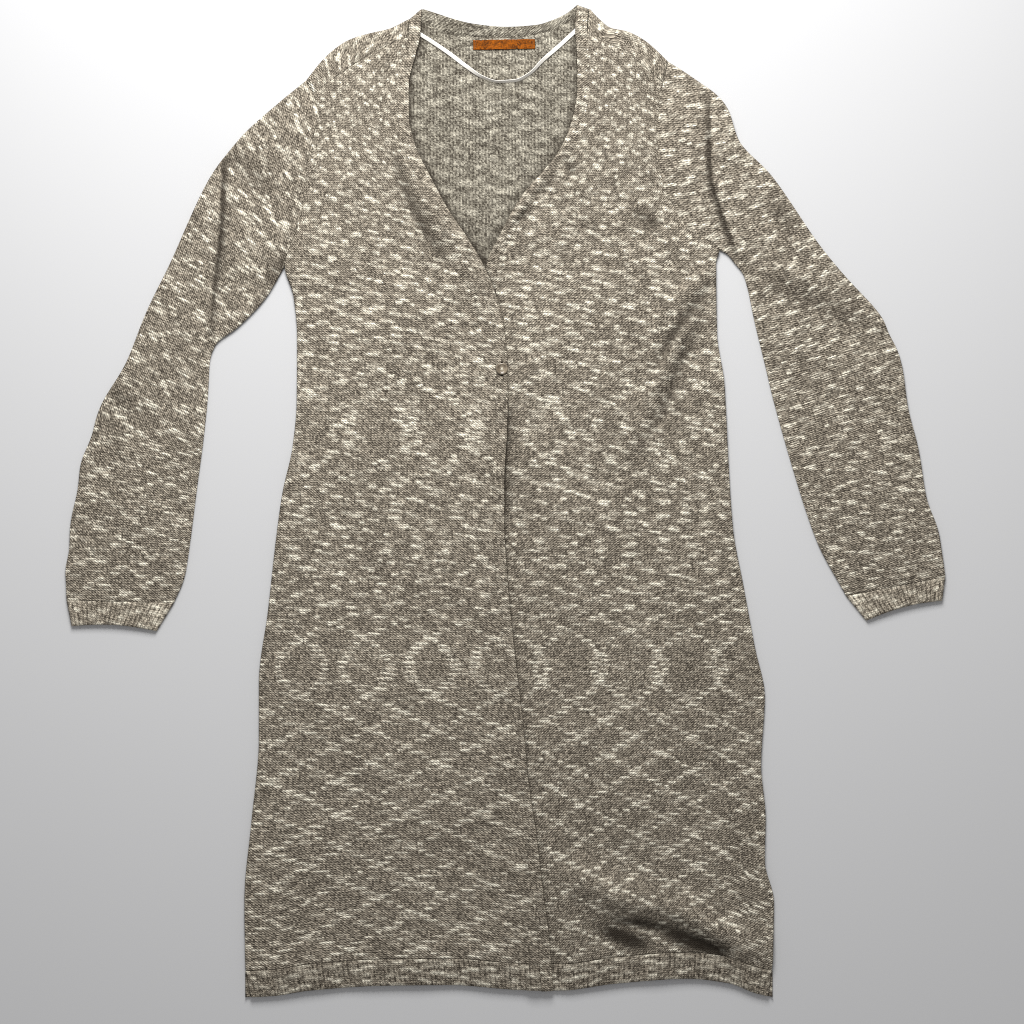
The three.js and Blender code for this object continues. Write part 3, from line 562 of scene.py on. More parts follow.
def drop(distance: Array, radius: float, depth: float) -> Array:
    """How far the cloth's face drops towards a rounded edge."""
    return depth * (1 - rounded(distance, radius))


class Laid(NamedTuple):
    """A sheet of cloth as it lies, and the cloth's own place across its wales and up its rows."""

    x: Array
    y: Array
    z: Array
    across: Array
    along: Array


def crowded(count: int, ends: float) -> Array:
    """Rising shares from 0 to 1 that lie closer at both ends; ends is 0 for even ones."""
    share = np.linspace(0, 1, count)
    return share - ends * np.sin(2 * np.pi * share) / (2 * np.pi)


def points_of(x: Array, y: Array) -> Array:
    """Points as rows of x and y."""
    return np.stack([x, y], axis=-1)


def along_line(line: Array, share: Array) -> Array:
    """Points on a line that runs straight from each of its points to the next.

    Args:
        line: The line's points.
        share: Shares of the way through it.

    Returns:
        A point for each share.
    """
    at = np.clip(share, 0, 1) * (len(line) - 1)
    i = np.minimum(np.floor(at).astype(int), len(line) - 2)
    return line[i] + (line[i + 1] - line[i]) * (at - i)[..., None]


def fill_between(
    first: Array, last: Array, bottom: Array, top: Array, fading: float = 3.0
) -> tuple[Array, Array]:
    """Places that fill the space between four edges.

    Args:
        first: Points up the edge on one side.
        last: As many points up the edge on the other side.
        bottom: Points along the bottom edge.
        top: As many points along the top edge.
        fading: How soon the top edge's slopes die out below it.

    Returns:
        The x and y of a grid, a row for each point of first and a column for each of bottom.
    """
    up = (first[:, 1] - first[0, 1]) / (first[-1, 1] - first[0, 1])
    over = (top[:, 0] - top[0, 0]) / (top[-1, 0] - top[0, 0])
    bottom_bend = bottom - blend(bottom[0], bottom[-1], over[:, None])
    top_bend = top - blend(top[0], top[-1], over[:, None])
    filled = []
    for axis, pull in enumerate((up, up**fading)):
        straight = blend(first[:, axis, None], last[:, axis, None], over[None, :])
        bend = blend(bottom_bend[None, :, axis], top_bend[None, :, axis], pull[:, None])
        filled.append(straight + bend)
    return filled[0], filled[1]


class Margins(NamedTuple):
    """Distances along the cloth from its four edges, in millimetres."""

    first: Array
    last: Array
    bottom: Array
    top: Array


def margins_of(x: Array, y: Array) -> Margins:
    """How far each place of a grid is from its first and last column and row.

    Args:
        x: The grid's x.
        y: Its y.

    Returns:
        The distances, which run along the cloth as seen from above.
    """
    over = np.hypot(np.diff(x, axis=1), np.diff(y, axis=1)).cumsum(axis=1)
    up = np.hypot(np.diff(x, axis=0), np.diff(y, axis=0)).cumsum(axis=0)
    first = np.pad(over, ((0, 0), (1, 0)))
    bottom = np.pad(up, ((1, 0), (0, 0)))
    return Margins(first, first[:, -1:] - first, bottom, bottom[-1:] - bottom)


def ditch(distance: Array, depth: float = 0.45, width: float = 2.2) -> Array:
    """Depth of the groove that a linked seam draws into the cloth beside it."""
    return depth * np.exp(-((distance / width) ** 2))


def hem_seam_at(x: Array) -> Array:
    """Height on the garment of the seam between a panel and its ribbed hem."""
    return hem_at(x) + HEM_HEIGHT


def rows_up(x: Array, y: Array) -> Array:
    """How far up the knitted rows a place of the body is. They follow the hem near it."""
    follow = 1 - smooth(y, ROWS_START, ROWS_START + ROWS_SETTLE)
    return y - ROWS_START - (hem_seam_at(x) - ROWS_START) * follow


def wales_moved(side: Side, y: Array) -> Array:
    """How far a front's free edge runs from where its wales are counted."""
    return edge_at(side, y) - edge_at(side, np.float64(WALES_START))


def lay_cloth(name: str, laid: Laid, leftwards: bool = False) -> bpy.types.Object:
    """A sheet of cloth as one grid, laid in place.

    Args:
        name: The piece's name.
        laid: Where each place of the grid lies, in millimetres.
        leftwards: Whether the columns run to the left, or the lower face was laid.

    Returns:
        The piece, with the cloth's own place in its UV map, in metres.
    """
    rows, columns = laid.x.shape
    bm = bmesh.new()
    bmesh.ops.create_grid(bm, x_segments=columns - 1, y_segments=rows - 1, size=1.0)
    piece = finish_mesh(name, bm)
    mesh = piece.data
    even = np.empty(3 * len(mesh.vertices))
    mesh.vertices.foreach_get("co", even)
    even = even.reshape(-1, 3)[:, :2]
    share = (even - even.min(axis=0)) / np.ptp(even, axis=0)
    column = np.rint(share[:, 0] * (columns - 1)).astype(int)
    row = np.rint(share[:, 1] * (rows - 1)).astype(int)
    if leftwards:
        column = columns - 1 - column
    place = np.stack([axis[row, column] for axis in laid[:3]], axis=1) * MM
    cloth = np.stack([axis[row, column] for axis in laid[3:]], axis=1) * MM
    corner = np.empty(len(mesh.loops), dtype=np.int32)
    mesh.loops.foreach_get("vertex_index", corner)
    mesh.vertices.foreach_set("co", place.ravel())
    mesh.uv_layers.new(name="knit").data.foreach_set("uv", cloth[corner].ravel())
    mesh.polygons.foreach_set("use_smooth", np.ones(len(mesh.polygons), dtype=bool))
    mesh.update()
    return piece


def finish_mesh(name: str, bm: bmesh.types.BMesh) -> bpy.types.Object:
    """Puts a bmesh into a new object, at the origin.

    Args:
        name: The piece's name.
        bm: The bmesh, which is used up.

    Returns:
        The object.
    """
    mesh = bpy.data.meshes.new(name)
    bm.to_mesh(mesh)
    bm.free()
    piece = bpy.data.objects.new(name, mesh)
    bpy.context.scene.collection.objects.link(piece)
    return piece


def note_dimness(piece: bpy.types.Object, dimness: Callable[[Array, Array], Array]) -> None:
    """Keeps on a sheet the shade painted into its knit: in its troughs, and just beside an edge over it.

    Args:
        piece: The sheet.
        dimness: How dim it is at x and y, from 0 to 1.
    """
    mesh = piece.data
    place = np.empty(3 * len(mesh.vertices))
    mesh.vertices.foreach_get("co", place)
    x, y, _ = place.reshape(-1, 3).T / MM
    value = np.clip(dimness(x, y), 0, 1).astype(np.float32)
    mesh.attributes.new("dimness", "FLOAT", "POINT").data.foreach_set("value", value)


def join_cloth(pieces: Sequence[bpy.types.Object]) -> bpy.types.Object:
    """Joins sheets where their edges meet into the first of them.

    Args:
        pieces: The sheets; all but the first are used up.

    Returns:
        The first sheet, with all of the cloth in it.
    """
    bm = bmesh.new()
    for piece in pieces:
        bm.from_mesh(piece.data)
    bmesh.ops.remove_doubles(bm, verts=bm.verts, dist=0.02 * MM)
    bm.to_mesh(pieces[0].data)
    bm.free()
    for piece in pieces[1:]:
        bpy.data.objects.remove(piece)
    return pieces[0]


def thicken(piece: bpy.types.Object, thickness: float = WALL, inner: int = 0) -> None:
    """Gives a sheet its wall, away from the face that was laid.

    Args:
        piece: The sheet.
        thickness: Its wall in millimetres.
        inner: How many material slots further on the wall's other face is.
    """
    wall = piece.modifiers.new("wall", "SOLIDIFY")
    wall.thickness = thickness * MM
    wall.offset = -1.0
    wall.use_rim = True
    wall.material_offset = inner
    wall.material_offset_rim = 0


def connect(tree: bpy.types.NodeTree, value: object, socket: bpy.types.NodeSocket) -> None:
    """Feeds a wire, a socket or a plain value into a socket."""
    if isinstance(value, Wire):
        tree.links.new(value.socket, socket)
    elif isinstance(value, bpy.types.NodeSocket):
        tree.links.new(value, socket)
    else:
        socket.default_value = value


class Wire:
    """A value in a node tree that can be reckoned with as a number is."""

    def __init__(self, tree: bpy.types.NodeTree, socket: bpy.types.NodeSocket) -> None:
        """Takes hold of one socket of the tree."""
        self.tree = tree
        self.socket = socket

    def reckon(self, operation: str, *others: object) -> "Wire":
        """One step of arithmetic on this value and the others.

        Args:
            operation: The step's name in the Math node.
            others: The other values.

        Returns:
            The result.
        """
        node = self.tree.nodes.new("ShaderNodeMath")
        node.operation = operation
        for value, socket in zip((self, *others), node.inputs):
            connect(self.tree, value, socket)
        return Wire(self.tree, node.outputs[0])

    def __add__(self, other: object) -> "Wire":
        """The sum."""
        return self.reckon("ADD", other)

    def __sub__(self, other: object) -> "Wire":
        """The difference."""
        return self.reckon("SUBTRACT", other)

    def __mul__(self, other: object) -> "Wire":
        """The product."""
        return self.reckon("MULTIPLY", other)

    def __truediv__(self, other: object) -> "Wire":
        """The quotient."""
        return self.reckon("DIVIDE", other)

    def flipped(self) -> "Wire":
        """One less this value."""
        return (self * -1.0) + 1.0

    def whole(self) -> "Wire":
        """The whole number below."""
        return self.reckon("FLOOR")

    def part(self) -> "Wire":
        """What is left above the whole number."""
        return self.reckon("FRACT")

    def wave(self) -> "Wire":
        """A wave between 0 and 1 that is 0 at each whole number."""
        return ((self * (2 * math.pi)).reckon("COSINE") * -0.5) + 0.5

    def at_least(self, low: float) -> "Wire":
        """This value, or the low one if that is more."""
        return self.reckon("MAXIMUM", low)

    def power(self, exponent: object) -> "Wire":
        """This value raised to a power."""
        return self.reckon("POWER", exponent)

    def step(self, low: object, high: object) -> "Wire":
        """A soft step up.

        Args:
            low: Value below which the step is 0.
            high: Value above which it is 1.

        Returns:
            The step's height at this value.
        """
        node = self.tree.nodes.new("ShaderNodeMapRange")
        node.interpolation_type = "SMOOTHSTEP"
        connect(self.tree, self, node.inputs["Value"])
        connect(self.tree, low, node.inputs["From Min"])
        connect(self.tree, high, node.inputs["From Max"])
        return Wire(self.tree, node.outputs["Result"])

    def between(self, low: object, high: object) -> "Wire":
        """The value this share of the way from low to high.

        Args:
            low: Value at share 0.
            high: Value at share 1.

        Returns:
            The value between them.
        """
        node = self.tree.nodes.new("ShaderNodeMix")
        node.clamp_factor = False
        connect(self.tree, self, node.inputs["Factor"])
        connect(self.tree, low, node.inputs["A"])
        connect(self.tree, high, node.inputs["B"])
        return Wire(self.tree, node.outputs["Result"])


def by_chance(x: Wire, y: Wire, z: object) -> tuple[Wire, Wire, Wire]:
    """Three values that depend on x, y and z by chance.

    Args:
        x: The first number.
        y: The second.
        z: The third.

    Returns:
        The three values, each from 0 to 1.
    """
    tree = x.tree
    place = tree.nodes.new("ShaderNodeCombineXYZ")
    for value, socket in zip((x, y, z), place.inputs):
        connect(tree, value, socket)
    chance = tree.nodes.new("ShaderNodeTexWhiteNoise")
    chance.noise_dimensions = "3D"
    tree.links.new(place.outputs[0], chance.inputs["Vector"])
    split = tree.nodes.new("ShaderNodeSeparateColor")
    tree.links.new(chance.outputs["Color"], split.inputs[0])
    return tuple(Wire(tree, socket) for socket in split.outputs)


def cloudy(tree: bpy.types.NodeTree, place: object, scale: float, detail: float = 2.0) -> Wire:
    """A cloudy pattern.

    Args:
        tree: The node tree to draw it in.
        place: Where to look.
        scale: How many clouds there are to the metre.
        detail: How finely they are broken up.

    Returns:
        The pattern, from 0 to 1.
    """
    noise = tree.nodes.new("ShaderNodeTexNoise")
    connect(tree, place, noise.inputs["Vector"])
    noise.inputs["Scale"].default_value = scale
    noise.inputs["Detail"].default_value = detail
    return Wire(tree, noise.outputs["Fac"])


def paint(red: int, green: int, blue: int) -> tuple[float, float, float, float]:
    """A colour from its 8 bit values, as the shaders take it.

    Args:
        red: Its red.
        green: Its green.
        blue: Its blue.

    Returns:
        The colour in linear light, with 1 for its alpha.
    """
    shares = [value / 255 for value in (red, green, blue)]
    light = [s / 12.92 if s <= 0.04045 else ((s + 0.055) / 1.055) ** 2.4 for s in shares]
    return (light[0], light[1], light[2], 1.0)


def mix_paint(tree: bpy.types.NodeTree, share: Wire, a: object, b: object) -> bpy.types.NodeSocket:
    """The colour this share of the way from a to b.

    Args:
        tree: The node tree to mix it in.
        share: The share of the way.
        a: The colour at share 0.
        b: The colour at share 1.

    Returns:
        The socket that gives the colour.
    """
    node = tree.nodes.new("ShaderNodeMix")
    node.data_type = "RGBA"
    connect(tree, share, node.inputs["Factor"])
    connect(tree, a, node.inputs[6])
    connect(tree, b, node.inputs[7])
    return node.outputs[2]


def new_group(name: str, takes: Sequence[str], gives: Sequence[str]) -> bpy.types.NodeTree:
    """A shader node group that takes a place and some values and gives other values.

    Args:
        name: The group's name.
        takes: Names of its values.
        gives: Names of what it gives.

    Returns:
        The empty group.
    """
    tree = bpy.data.node_groups.new(name, "ShaderNodeTree")
    tree.interface.new_socket("Place", in_out="INPUT", socket_type="NodeSocketVector")
    for label in takes:
        tree.interface.new_socket(label, in_out="INPUT", socket_type="NodeSocketFloat")
    for label in gives:
        tree.interface.new_socket(label, in_out="OUTPUT", socket_type="NodeSocketFloat")
    return tree


# The yarn's slubs: how far apart they come, how long they are, and the stray ones between them.
SLUB_REPEAT = 68.0
SLUB_LENGTH = 12.0
STRAY_REPEAT = 31.0
STRAY_DRIFT = 0.377

# Rows between which the slubs come to keep loosely to their places, as on the upper body.
UPPER_FROM = 130.0
UPPER_TO = 220.0

# How pale a slub is, how uneven the yarn's tone is, and the tone left in the deepest painted shade.
SLUB_PALENESS = 0.41
TONE_DRIFT = 0.12
DEEPEST_SHADE = 0.25


def slub_in(
    row: Wire, above: Wire, tilt: Wire, soft: Wire, loose: Wire, repeat: float, run: Wire, seed: Wire
) -> Wire:
    """How much slub one row of the knit shows.

    Args:
        row: The row's number.
        above: How far above the row's middle the place is, in rows.
        tilt: How much the slubs lean out of their row, less than 0 where the yarn runs back.
        soft: 1 where only the slubs' backs show, which are wide and soft.
        loose: 1 where the slubs keep only loosely to their repeat.
        repeat: Length of yarn from slub to slub, in millimetres of the row.
        run: The yarn's run at this place, a whole number at each repeat's start.
        seed: The cloth's own chance.

    Returns:
        1 in the middle of a slub and 0 beside it.
    """
    place_chance, length_chance, pale_chance = by_chance(run.whole(), row, seed)
    lean_chance, thick_chance, _ = by_chance(run.whole(), row, seed + 3.0)
    upper = row.step(UPPER_FROM, UPPER_TO)
    middle = (place_chance - 0.5) * (upper.reckon("MAXIMUM", loose) * 0.2 + 0.06) + 0.5
    along = (run.part() - middle) * repeat
    half = (length_chance + 0.5) * (SLUB_LENGTH / 2)
    lean = (lean_chance * 0.16 + 0.05) * (upper * 0.8 + 0.2) * tilt
    beside = (above + along * lean).reckon("ABSOLUTE")
    length = along.reckon("ABSOLUTE").step(half * 0.45, half * (soft * 0.7 + 1.25)).flipped()
    thick = beside.step(0.15, thick_chance * 0.4 + soft * 1.1 + upper * 0.3 + 0.75).flipped()
    return length * thick * (pale_chance * 0.6 + 0.5)


def slub_yarn_group() -> bpy.types.NodeTree:
    """The knit of a slub yarn: its stitches, its marl and where its thick pale slubs fall.

    The slubs come round evenly along the yarn, which runs to and fro row by row, so that they
    gather in ovals and diamonds wherever a pair of rows takes about a whole number of repeats.
    Each slub is thicker than a row, so that a place shows the slubs of the rows beside it too.
    Its tone paints the shade of the troughs between the loops and of the ribs' grooves over the
    yarn's own marl and fibres.

    Returns:
        The group. Place is the cloth's own place in metres.
    """
    takes = (
        "Wale", "Course", "Smooth face", "Rib", "Slant", "Seed", "Drift", "Bend", "Bend from",
        "Bend to", "Lead", "Lean", "Loose",
    )
    tree = new_group("slub yarn", takes, ("Height", "Slub", "Tone"))
    inlet = tree.nodes.new("NodeGroupInput")
    outlet = tree.nodes.new("NodeGroupOutput")
    given = {label: Wire(tree, inlet.outputs[label]) for label in takes}
    split = tree.nodes.new("ShaderNodeSeparateXYZ")
    tree.links.new(inlet.outputs["Place"], split.inputs[0])
    across = Wire(tree, split.outputs[0]) * 1000.0
    wander = cloudy(tree, inlet.outputs["Place"], 55.0, 1.0) - 0.5
    up = Wire(tree, split.outputs[1]) * 1000.0 + wander * 3.0
    wale = across / given["Wale"]
    in_wale = wale.part() - 0.5
    rows = up / given["Course"]
    here = rows.whole()
    slubs: Wire | None = None
    for beside in (-1.0, 0.0, 1.0):
        row = here + beside
        turn = (row * 0.5).part() * 2.0
        way = (turn * -2.0) + 1.0
        after = (row - given["Bend from"]).at_least(0.0)
        until = (row - given["Bend to"]).at_least(0.0)
        curve = (until * until - after * after) * given["Bend"] * 0.5
        run = across / SLUB_REPEAT * way + row * given["Drift"] + curve + turn * given["Lead"]
        above = rows - row - 0.5
        soft = given["Smooth face"]
        tilt = way * given["Lean"]
        loose = given["Loose"]
        slub = slub_in(row, above, tilt, soft, loose, SLUB_REPEAT, run, given["Seed"])
        stray_run = across / STRAY_REPEAT * way + row * STRAY_DRIFT
        stray = slub_in(row, above, tilt, soft, loose, STRAY_REPEAT, stray_run, given["Seed"] + 7.0)
        shows = by_chance(stray_run.whole(), row, given["Seed"] + 9.0)[0].step(0.55, 0.75)
        both = slub.reckon("MAXIMUM", stray * shows * 0.5)
        slubs = both if slubs is None else slubs.reckon("MAXIMUM", both)
    loop_row = rows + given["Smooth face"].between(
        in_wale * given["Slant"], in_wale.reckon("ABSOLUTE") * 1.3
    )
    loop_chance, marl_chance, _ = by_chance((wale * 2.0).whole(), loop_row.whole(), given["Seed"])
    fibre_row = (up / 1.25 + across * given["Slant"] / 2.4).whole()
    fibre_chance, _, _ = by_chance((across / 1.7).whole(), fibre_row, given["Seed"] + 5.0)
    bulge = wale.wave()
    purl = loop_row.wave() * (bulge * 0.3 + 0.7)
    leg = bulge * (loop_row.wave() * 0.4 + 0.6)
    loops = given["Smooth face"].between(purl, leg)
    # a rib's groove, sunk in the relief and painted darker in the tone as its shade
    groove = given["Rib"] * ((wale * 0.5).wave() - 1.0)
    # tone: painted shade of the loops' troughs and the rib grooves, over the marl and fibres' own tone
    tone_and_stitch_shade = (
        (loops - 0.5) * (given["Smooth face"] * -0.08 + 0.22) + (marl_chance - 0.5) * 0.16
        + (fibre_chance - 0.5) * (given["Smooth face"] * -0.02 + 0.39) + groove * 0.3 + 0.475
    )
    shown = slubs * (loop_chance * 0.3 + 0.85)
    for label, value in (
        ("Height", loops + slubs * 0.5 + fibre_chance * 0.5 + groove),
        ("Slub", shown),
        ("Tone", tone_and_stitch_shade),
    ):
        connect(tree, value, outlet.inputs[label])
    return tree


def fuzz_group() -> bpy.types.NodeTree:
    """Loose fibres and slow changes of tone that lie over any yarn.

    Returns:
        The group. Place is in metres.
    """
    tree = new_group("fuzz", ("Size",), ("Fibre", "Tone"))
    inlet = tree.nodes.new("NodeGroupInput")
    outlet = tree.nodes.new("NodeGroupOutput")
    scaled = tree.nodes.new("ShaderNodeVectorMath")
    scaled.operation = "SCALE"
    tree.links.new(inlet.outputs["Place"], scaled.inputs[0])
    tree.links.new(inlet.outputs["Size"], scaled.inputs["Scale"])
    connect(tree, cloudy(tree, scaled.outputs[0], 900.0, 4.0), outlet.inputs["Fibre"])
    connect(tree, cloudy(tree, scaled.outputs[0], 11.0, 3.0), outlet.inputs["Tone"])
    return tree


def use_group(tree: bpy.types.NodeTree, group: bpy.types.NodeTree, **values: object) -> dict[str, Wire]:
    """Places a group in a tree.

    Args:
        tree: The tree.
        group: The group.
        values: What it takes, with underscores for the spaces of each name.

    Returns:
        What it gives, by name.
    """
    node = tree.nodes.new("ShaderNodeGroup")
    node.node_tree = group
    for label, value in values.items():
        connect(tree, value, node.inputs[label.replace("_", " ")])
    return {socket.name: Wire(tree, socket) for socket in node.outputs}


def new_material(name: str, roughness: float) -> tuple[bpy.types.Material, bpy.types.Node]:
    """A material and its shader.

    Args:
        name: The material's name.
        roughness: How rough it is.

    Returns:
        The material and its Principled BSDF.
    """
    material = bpy.data.materials.new(name)
    material.use_nodes = True
    shader = material.node_tree.nodes["Principled BSDF"]
    shader.inputs["Roughness"].default_value = roughness
    return material, shader


def add_bump(tree: bpy.types.NodeTree, shader: bpy.types.Node, height: object, depth: float) -> None:
    """Raises the surface by a height.

    Args:
        tree: The material's tree.
        shader: Its shader.
        height: The height, from 0 to 1.
        depth: How much 1 raises it, in millimetres.
    """
    bump = tree.nodes.new("ShaderNodeBump")
    bump.inputs["Strength"].default_value = 1.0
    bump.inputs["Distance"].default_value = depth * MM
    connect(tree, height, bump.inputs["Height"])
    tree.links.new(bump.outputs["Normal"], shader.inputs["Normal"])


@dataclass(frozen=True)
class SlubKnit:
    """The knitted cloth of taupe slub yarn.

    Wale and course are the stitches' pitch. Drift is the share of a repeat that the slubs move on
    by each row, and bend is how much less it gets with each row from bend_from to bend_to. Lead is
    how far the rows that run back are ahead. Slant turns the stitches and lean the slubs, and loose
    is 1 where the slubs keep only loosely to their repeat. Rib is the depth of the ribs' grooves, in
    their relief and in the shade painted into them. Lift makes the yarn paler. The shade tint is the
    colour of painted shade, in the stitches' troughs and where the sheet is noted as dim, and of the
    darkest marl.
    """

    name: str
    seed: float
    face: Face = Face.PURL
    wale: float = WALE
    course: float = COURSE
    rib: float = 0.0
    drift: float = 0.07
    bend: float = 0.005
    bend_from: float = 110.0
    bend_to: float = 256.0
    lead: float = 0.0
    slant: float = 0.6
    lean: float = 0.4
    loose: float = 0.0
    slubs: float = 1.0
    lift: float = 0.0
    # dark end of the tone: painted shade in the stitches' troughs and dim places, and the darkest marl
    shade_tint: tuple[int, int, int] = (46, 39, 31)
    yarn: tuple[int, int, int] = (245, 231, 207)
    slub: tuple[int, int, int] = (253, 246, 225)
    relief: float = 0.6

    def material(self, groups: dict[str, bpy.types.NodeTree]) -> bpy.types.Material:
        """Makes the material.

        Args:
            groups: The shared node groups by name.

        Returns:
            The material.
        """
        material, shader = new_material(self.name, 0.9)
        tree = material.node_tree
        place = tree.nodes.new("ShaderNodeUVMap")
        place.uv_map = "knit"
        knit = use_group(
            tree, groups["slub yarn"], Place=place.outputs[0], Wale=self.wale, Course=self.course,
            Smooth_face=self.face.value, Rib=self.rib, Slant=self.slant, Seed=self.seed,
            Drift=self.drift, Bend=self.bend, Bend_from=self.bend_from, Bend_to=self.bend_to,
            Lead=self.lead, Lean=self.lean, Loose=self.loose,
        )
        fuzz = use_group(tree, groups["fuzz"], Place=place.outputs[0], Size=1.0)
        slub = knit["Slub"] * self.slubs
        # The noted dimness is painted shade, which darkens the tone towards the shade tint.
        noted = tree.nodes.new("ShaderNodeAttribute")
        noted.attribute_name = "dimness"
        shown = Wire(tree, noted.outputs["Fac"]).flipped()
        tone = knit["Tone"] + (fuzz["Tone"] - 0.5) * TONE_DRIFT + slub * SLUB_PALENESS + self.lift
        shade = shown * (1.0 - DEEPEST_SHADE) + DEEPEST_SHADE
        tone = (tone * shade).at_least(0.0).power(2.0)
        spun = mix_paint(tree, slub, paint(*self.yarn), paint(*self.slub))
        connect(tree, mix_paint(tree, tone, paint(*self.shade_tint), spun), shader.inputs["Base Color"])
        shader.inputs["Specular IOR Level"].default_value = 0.2
        add_bump(tree, shader, knit["Height"] + fuzz["Fibre"] * 0.3, self.relief)
        return material


@dataclass(frozen=True)
class Suede:
    """The label's leather, brushed and a little uneven."""

    name: str = "label leather"
    dark: tuple[int, int, int] = (36, 19, 3)
    light: tuple[int, int, int] = (166, 88, 6)

    def material(self, groups: dict[str, bpy.types.NodeTree]) -> bpy.types.Material:
        """Makes the material.

        Args:
            groups: The shared node groups by name.

        Returns:
            The material.
        """
        material, shader = new_material(self.name, 0.8)
        tree = material.node_tree
        place = tree.nodes.new("ShaderNodeTexCoord").outputs["Object"]
        fuzz = use_group(tree, groups["fuzz"], Place=place, Size=0.6)
        grain = (fuzz["Fibre"] * 0.7 + cloudy(tree, place, 190.0, 3.0) * 0.5 - 0.1).step(0.2, 0.85)
        colour = mix_paint(tree, grain, paint(*self.dark), paint(*self.light))
        connect(tree, colour, shader.inputs["Base Color"])
        shader.inputs["Specular IOR Level"].default_value = 0.15
        add_bump(tree, shader, grain, 0.25)
        return material


@dataclass(frozen=True)
class Satin:
    """The hanger tape's satin, with its fine cross weave."""

    name: str = "satin tape"
    white: tuple[int, int, int] = (250, 247, 240)
    shade: tuple[int, int, int] = (226, 220, 208)

    def material(self, groups: dict[str, bpy.types.NodeTree]) -> bpy.types.Material:
        """Makes the material.

        Args:
            groups: The shared node groups by name.

        Returns:
            The material.
        """
        material, shader = new_material(self.name, 0.38)
        tree = material.node_tree
        place = tree.nodes.new("ShaderNodeUVMap")
        place.uv_map = "knit"
        split = tree.nodes.new("ShaderNodeSeparateXYZ")
        tree.links.new(place.outputs[0], split.inputs[0])
        threads = (Wire(tree, split.outputs[1]) * 2500.0).wave()
        fuzz = use_group(tree, groups["fuzz"], Place=place.outputs[0], Size=1.0)
        share = threads * 0.4 + fuzz["Fibre"] * 0.6
        colour = mix_paint(tree, share, paint(*self.shade), paint(*self.white))
        connect(tree, colour, shader.inputs["Base Color"])
        add_bump(tree, shader, threads, 0.05)
        return material


@dataclass(frozen=True)
class Resin:
    """The button's cast resin, faintly marbled."""

    name: str = "button resin"
    dark: tuple[int, int, int] = (88, 77, 63)
    light: tuple[int, int, int] = (150, 137, 117)

    def material(self, groups: dict[str, bpy.types.NodeTree]) -> bpy.types.Material:
        """Makes the material.

        Args:
            groups: The shared node groups by name.

        Returns:
            The material.
        """
        material, shader = new_material(self.name, 0.22)
        tree = material.node_tree
        place = tree.nodes.new("ShaderNodeTexCoord").outputs["Object"]
        fuzz = use_group(tree, groups["fuzz"], Place=place, Size=0.15)
        swirl = (fuzz["Fibre"] * 0.5 + cloudy(tree, place, 260.0, 2.0) * 0.5).step(0.3, 0.7)
        colour = mix_paint(tree, swirl, paint(*self.dark), paint(*self.light))
        connect(tree, colour, shader.inputs["Base Color"])
        shader.inputs["Coat Weight"].default_value = 0.15
        return material


@dataclass(frozen=True)
class Thread:
    """Sewing thread."""

    name: str
    tint: tuple[int, int, int]

    def material(self, groups: dict[str, bpy.types.NodeTree]) -> bpy.types.Material:
        """Makes the material.

        Args:
            groups: The shared node groups by name.

        Returns:
            The material.
        """
        material, shader = new_material(self.name, 0.7)
        tree = material.node_tree
        place = tree.nodes.new("ShaderNodeTexCoord").outputs["Object"]
        fuzz = use_group(tree, groups["fuzz"], Place=place, Size=2.0)
        darker = paint(*(round(value * 0.75) for value in self.tint))
        colour = mix_paint(tree, fuzz["Fibre"], darker, paint(*self.tint))
        connect(tree, colour, shader.inputs["Base Color"])
        return material


class Rack:
    """All finishes, made once and handed out by name."""

    def __init__(self) -> None:
        """Makes the shared groups and each material."""
        self.groups = {tree.name: tree for tree in (slub_yarn_group(), fuzz_group())}
        rib = {
            "face": Face.MIXED, "wale": RIB_PITCH / 2, "course": 2.5, "drift": 0.31,
            "bend": 0.0, "slubs": 0.9, "loose": 1.0,
        }
        finishes = (
            SlubKnit("knit of the right front", 11.0, lead=0.35),
            SlubKnit("knit of the left front", 23.0, lead=0.8, slant=-0.6),
            SlubKnit(
                "knit of the right sleeve", 31.0, drift=0.41, bend=0.0, lean=0.9, loose=1.0
            ),
            SlubKnit(
                "knit of the left sleeve", 47.0, drift=0.36, bend=0.0, lean=1.1, loose=1.0
            ),
            SlubKnit("knit of the back", 59.0, lead=0.5),
            SlubKnit(
                "inside of the back", 61.0, face=Face.SMOOTH, wale=3.6, lead=0.5, slubs=0.5,
                lift=-0.085, lean=0.1, yarn=(240, 231, 208),
            ),
            SlubKnit("knit of the right band", 73.0, lead=0.35, slubs=0.75),
            SlubKnit("knit of the left band", 79.0, lead=0.8, slant=-0.6),
            SlubKnit("rib of the hem", 83.0, rib=0.2, lift=-0.01, **rib),
            SlubKnit("rib of the cuffs", 97.0, rib=0.36, lift=0.12, **rib),
            Suede(),
            Satin(),
            Resin(),
            Thread("cream thread", (236, 228, 208)),
            Thread("taupe thread", (150, 139, 122)),
            Thread("tan thread", (150, 94, 48)),
        )
        self.materials = {finish.name: finish.material(self.groups) for finish in finishes}

    def dress(self, piece: bpy.types.Object, *names: str) -> None:
        """Gives a piece its finishes.

        Args:
            piece: The piece.
            names: The finishes, in the order of its material slots.
        """
        for name in names:
            piece.data.materials.append(self.materials[name])


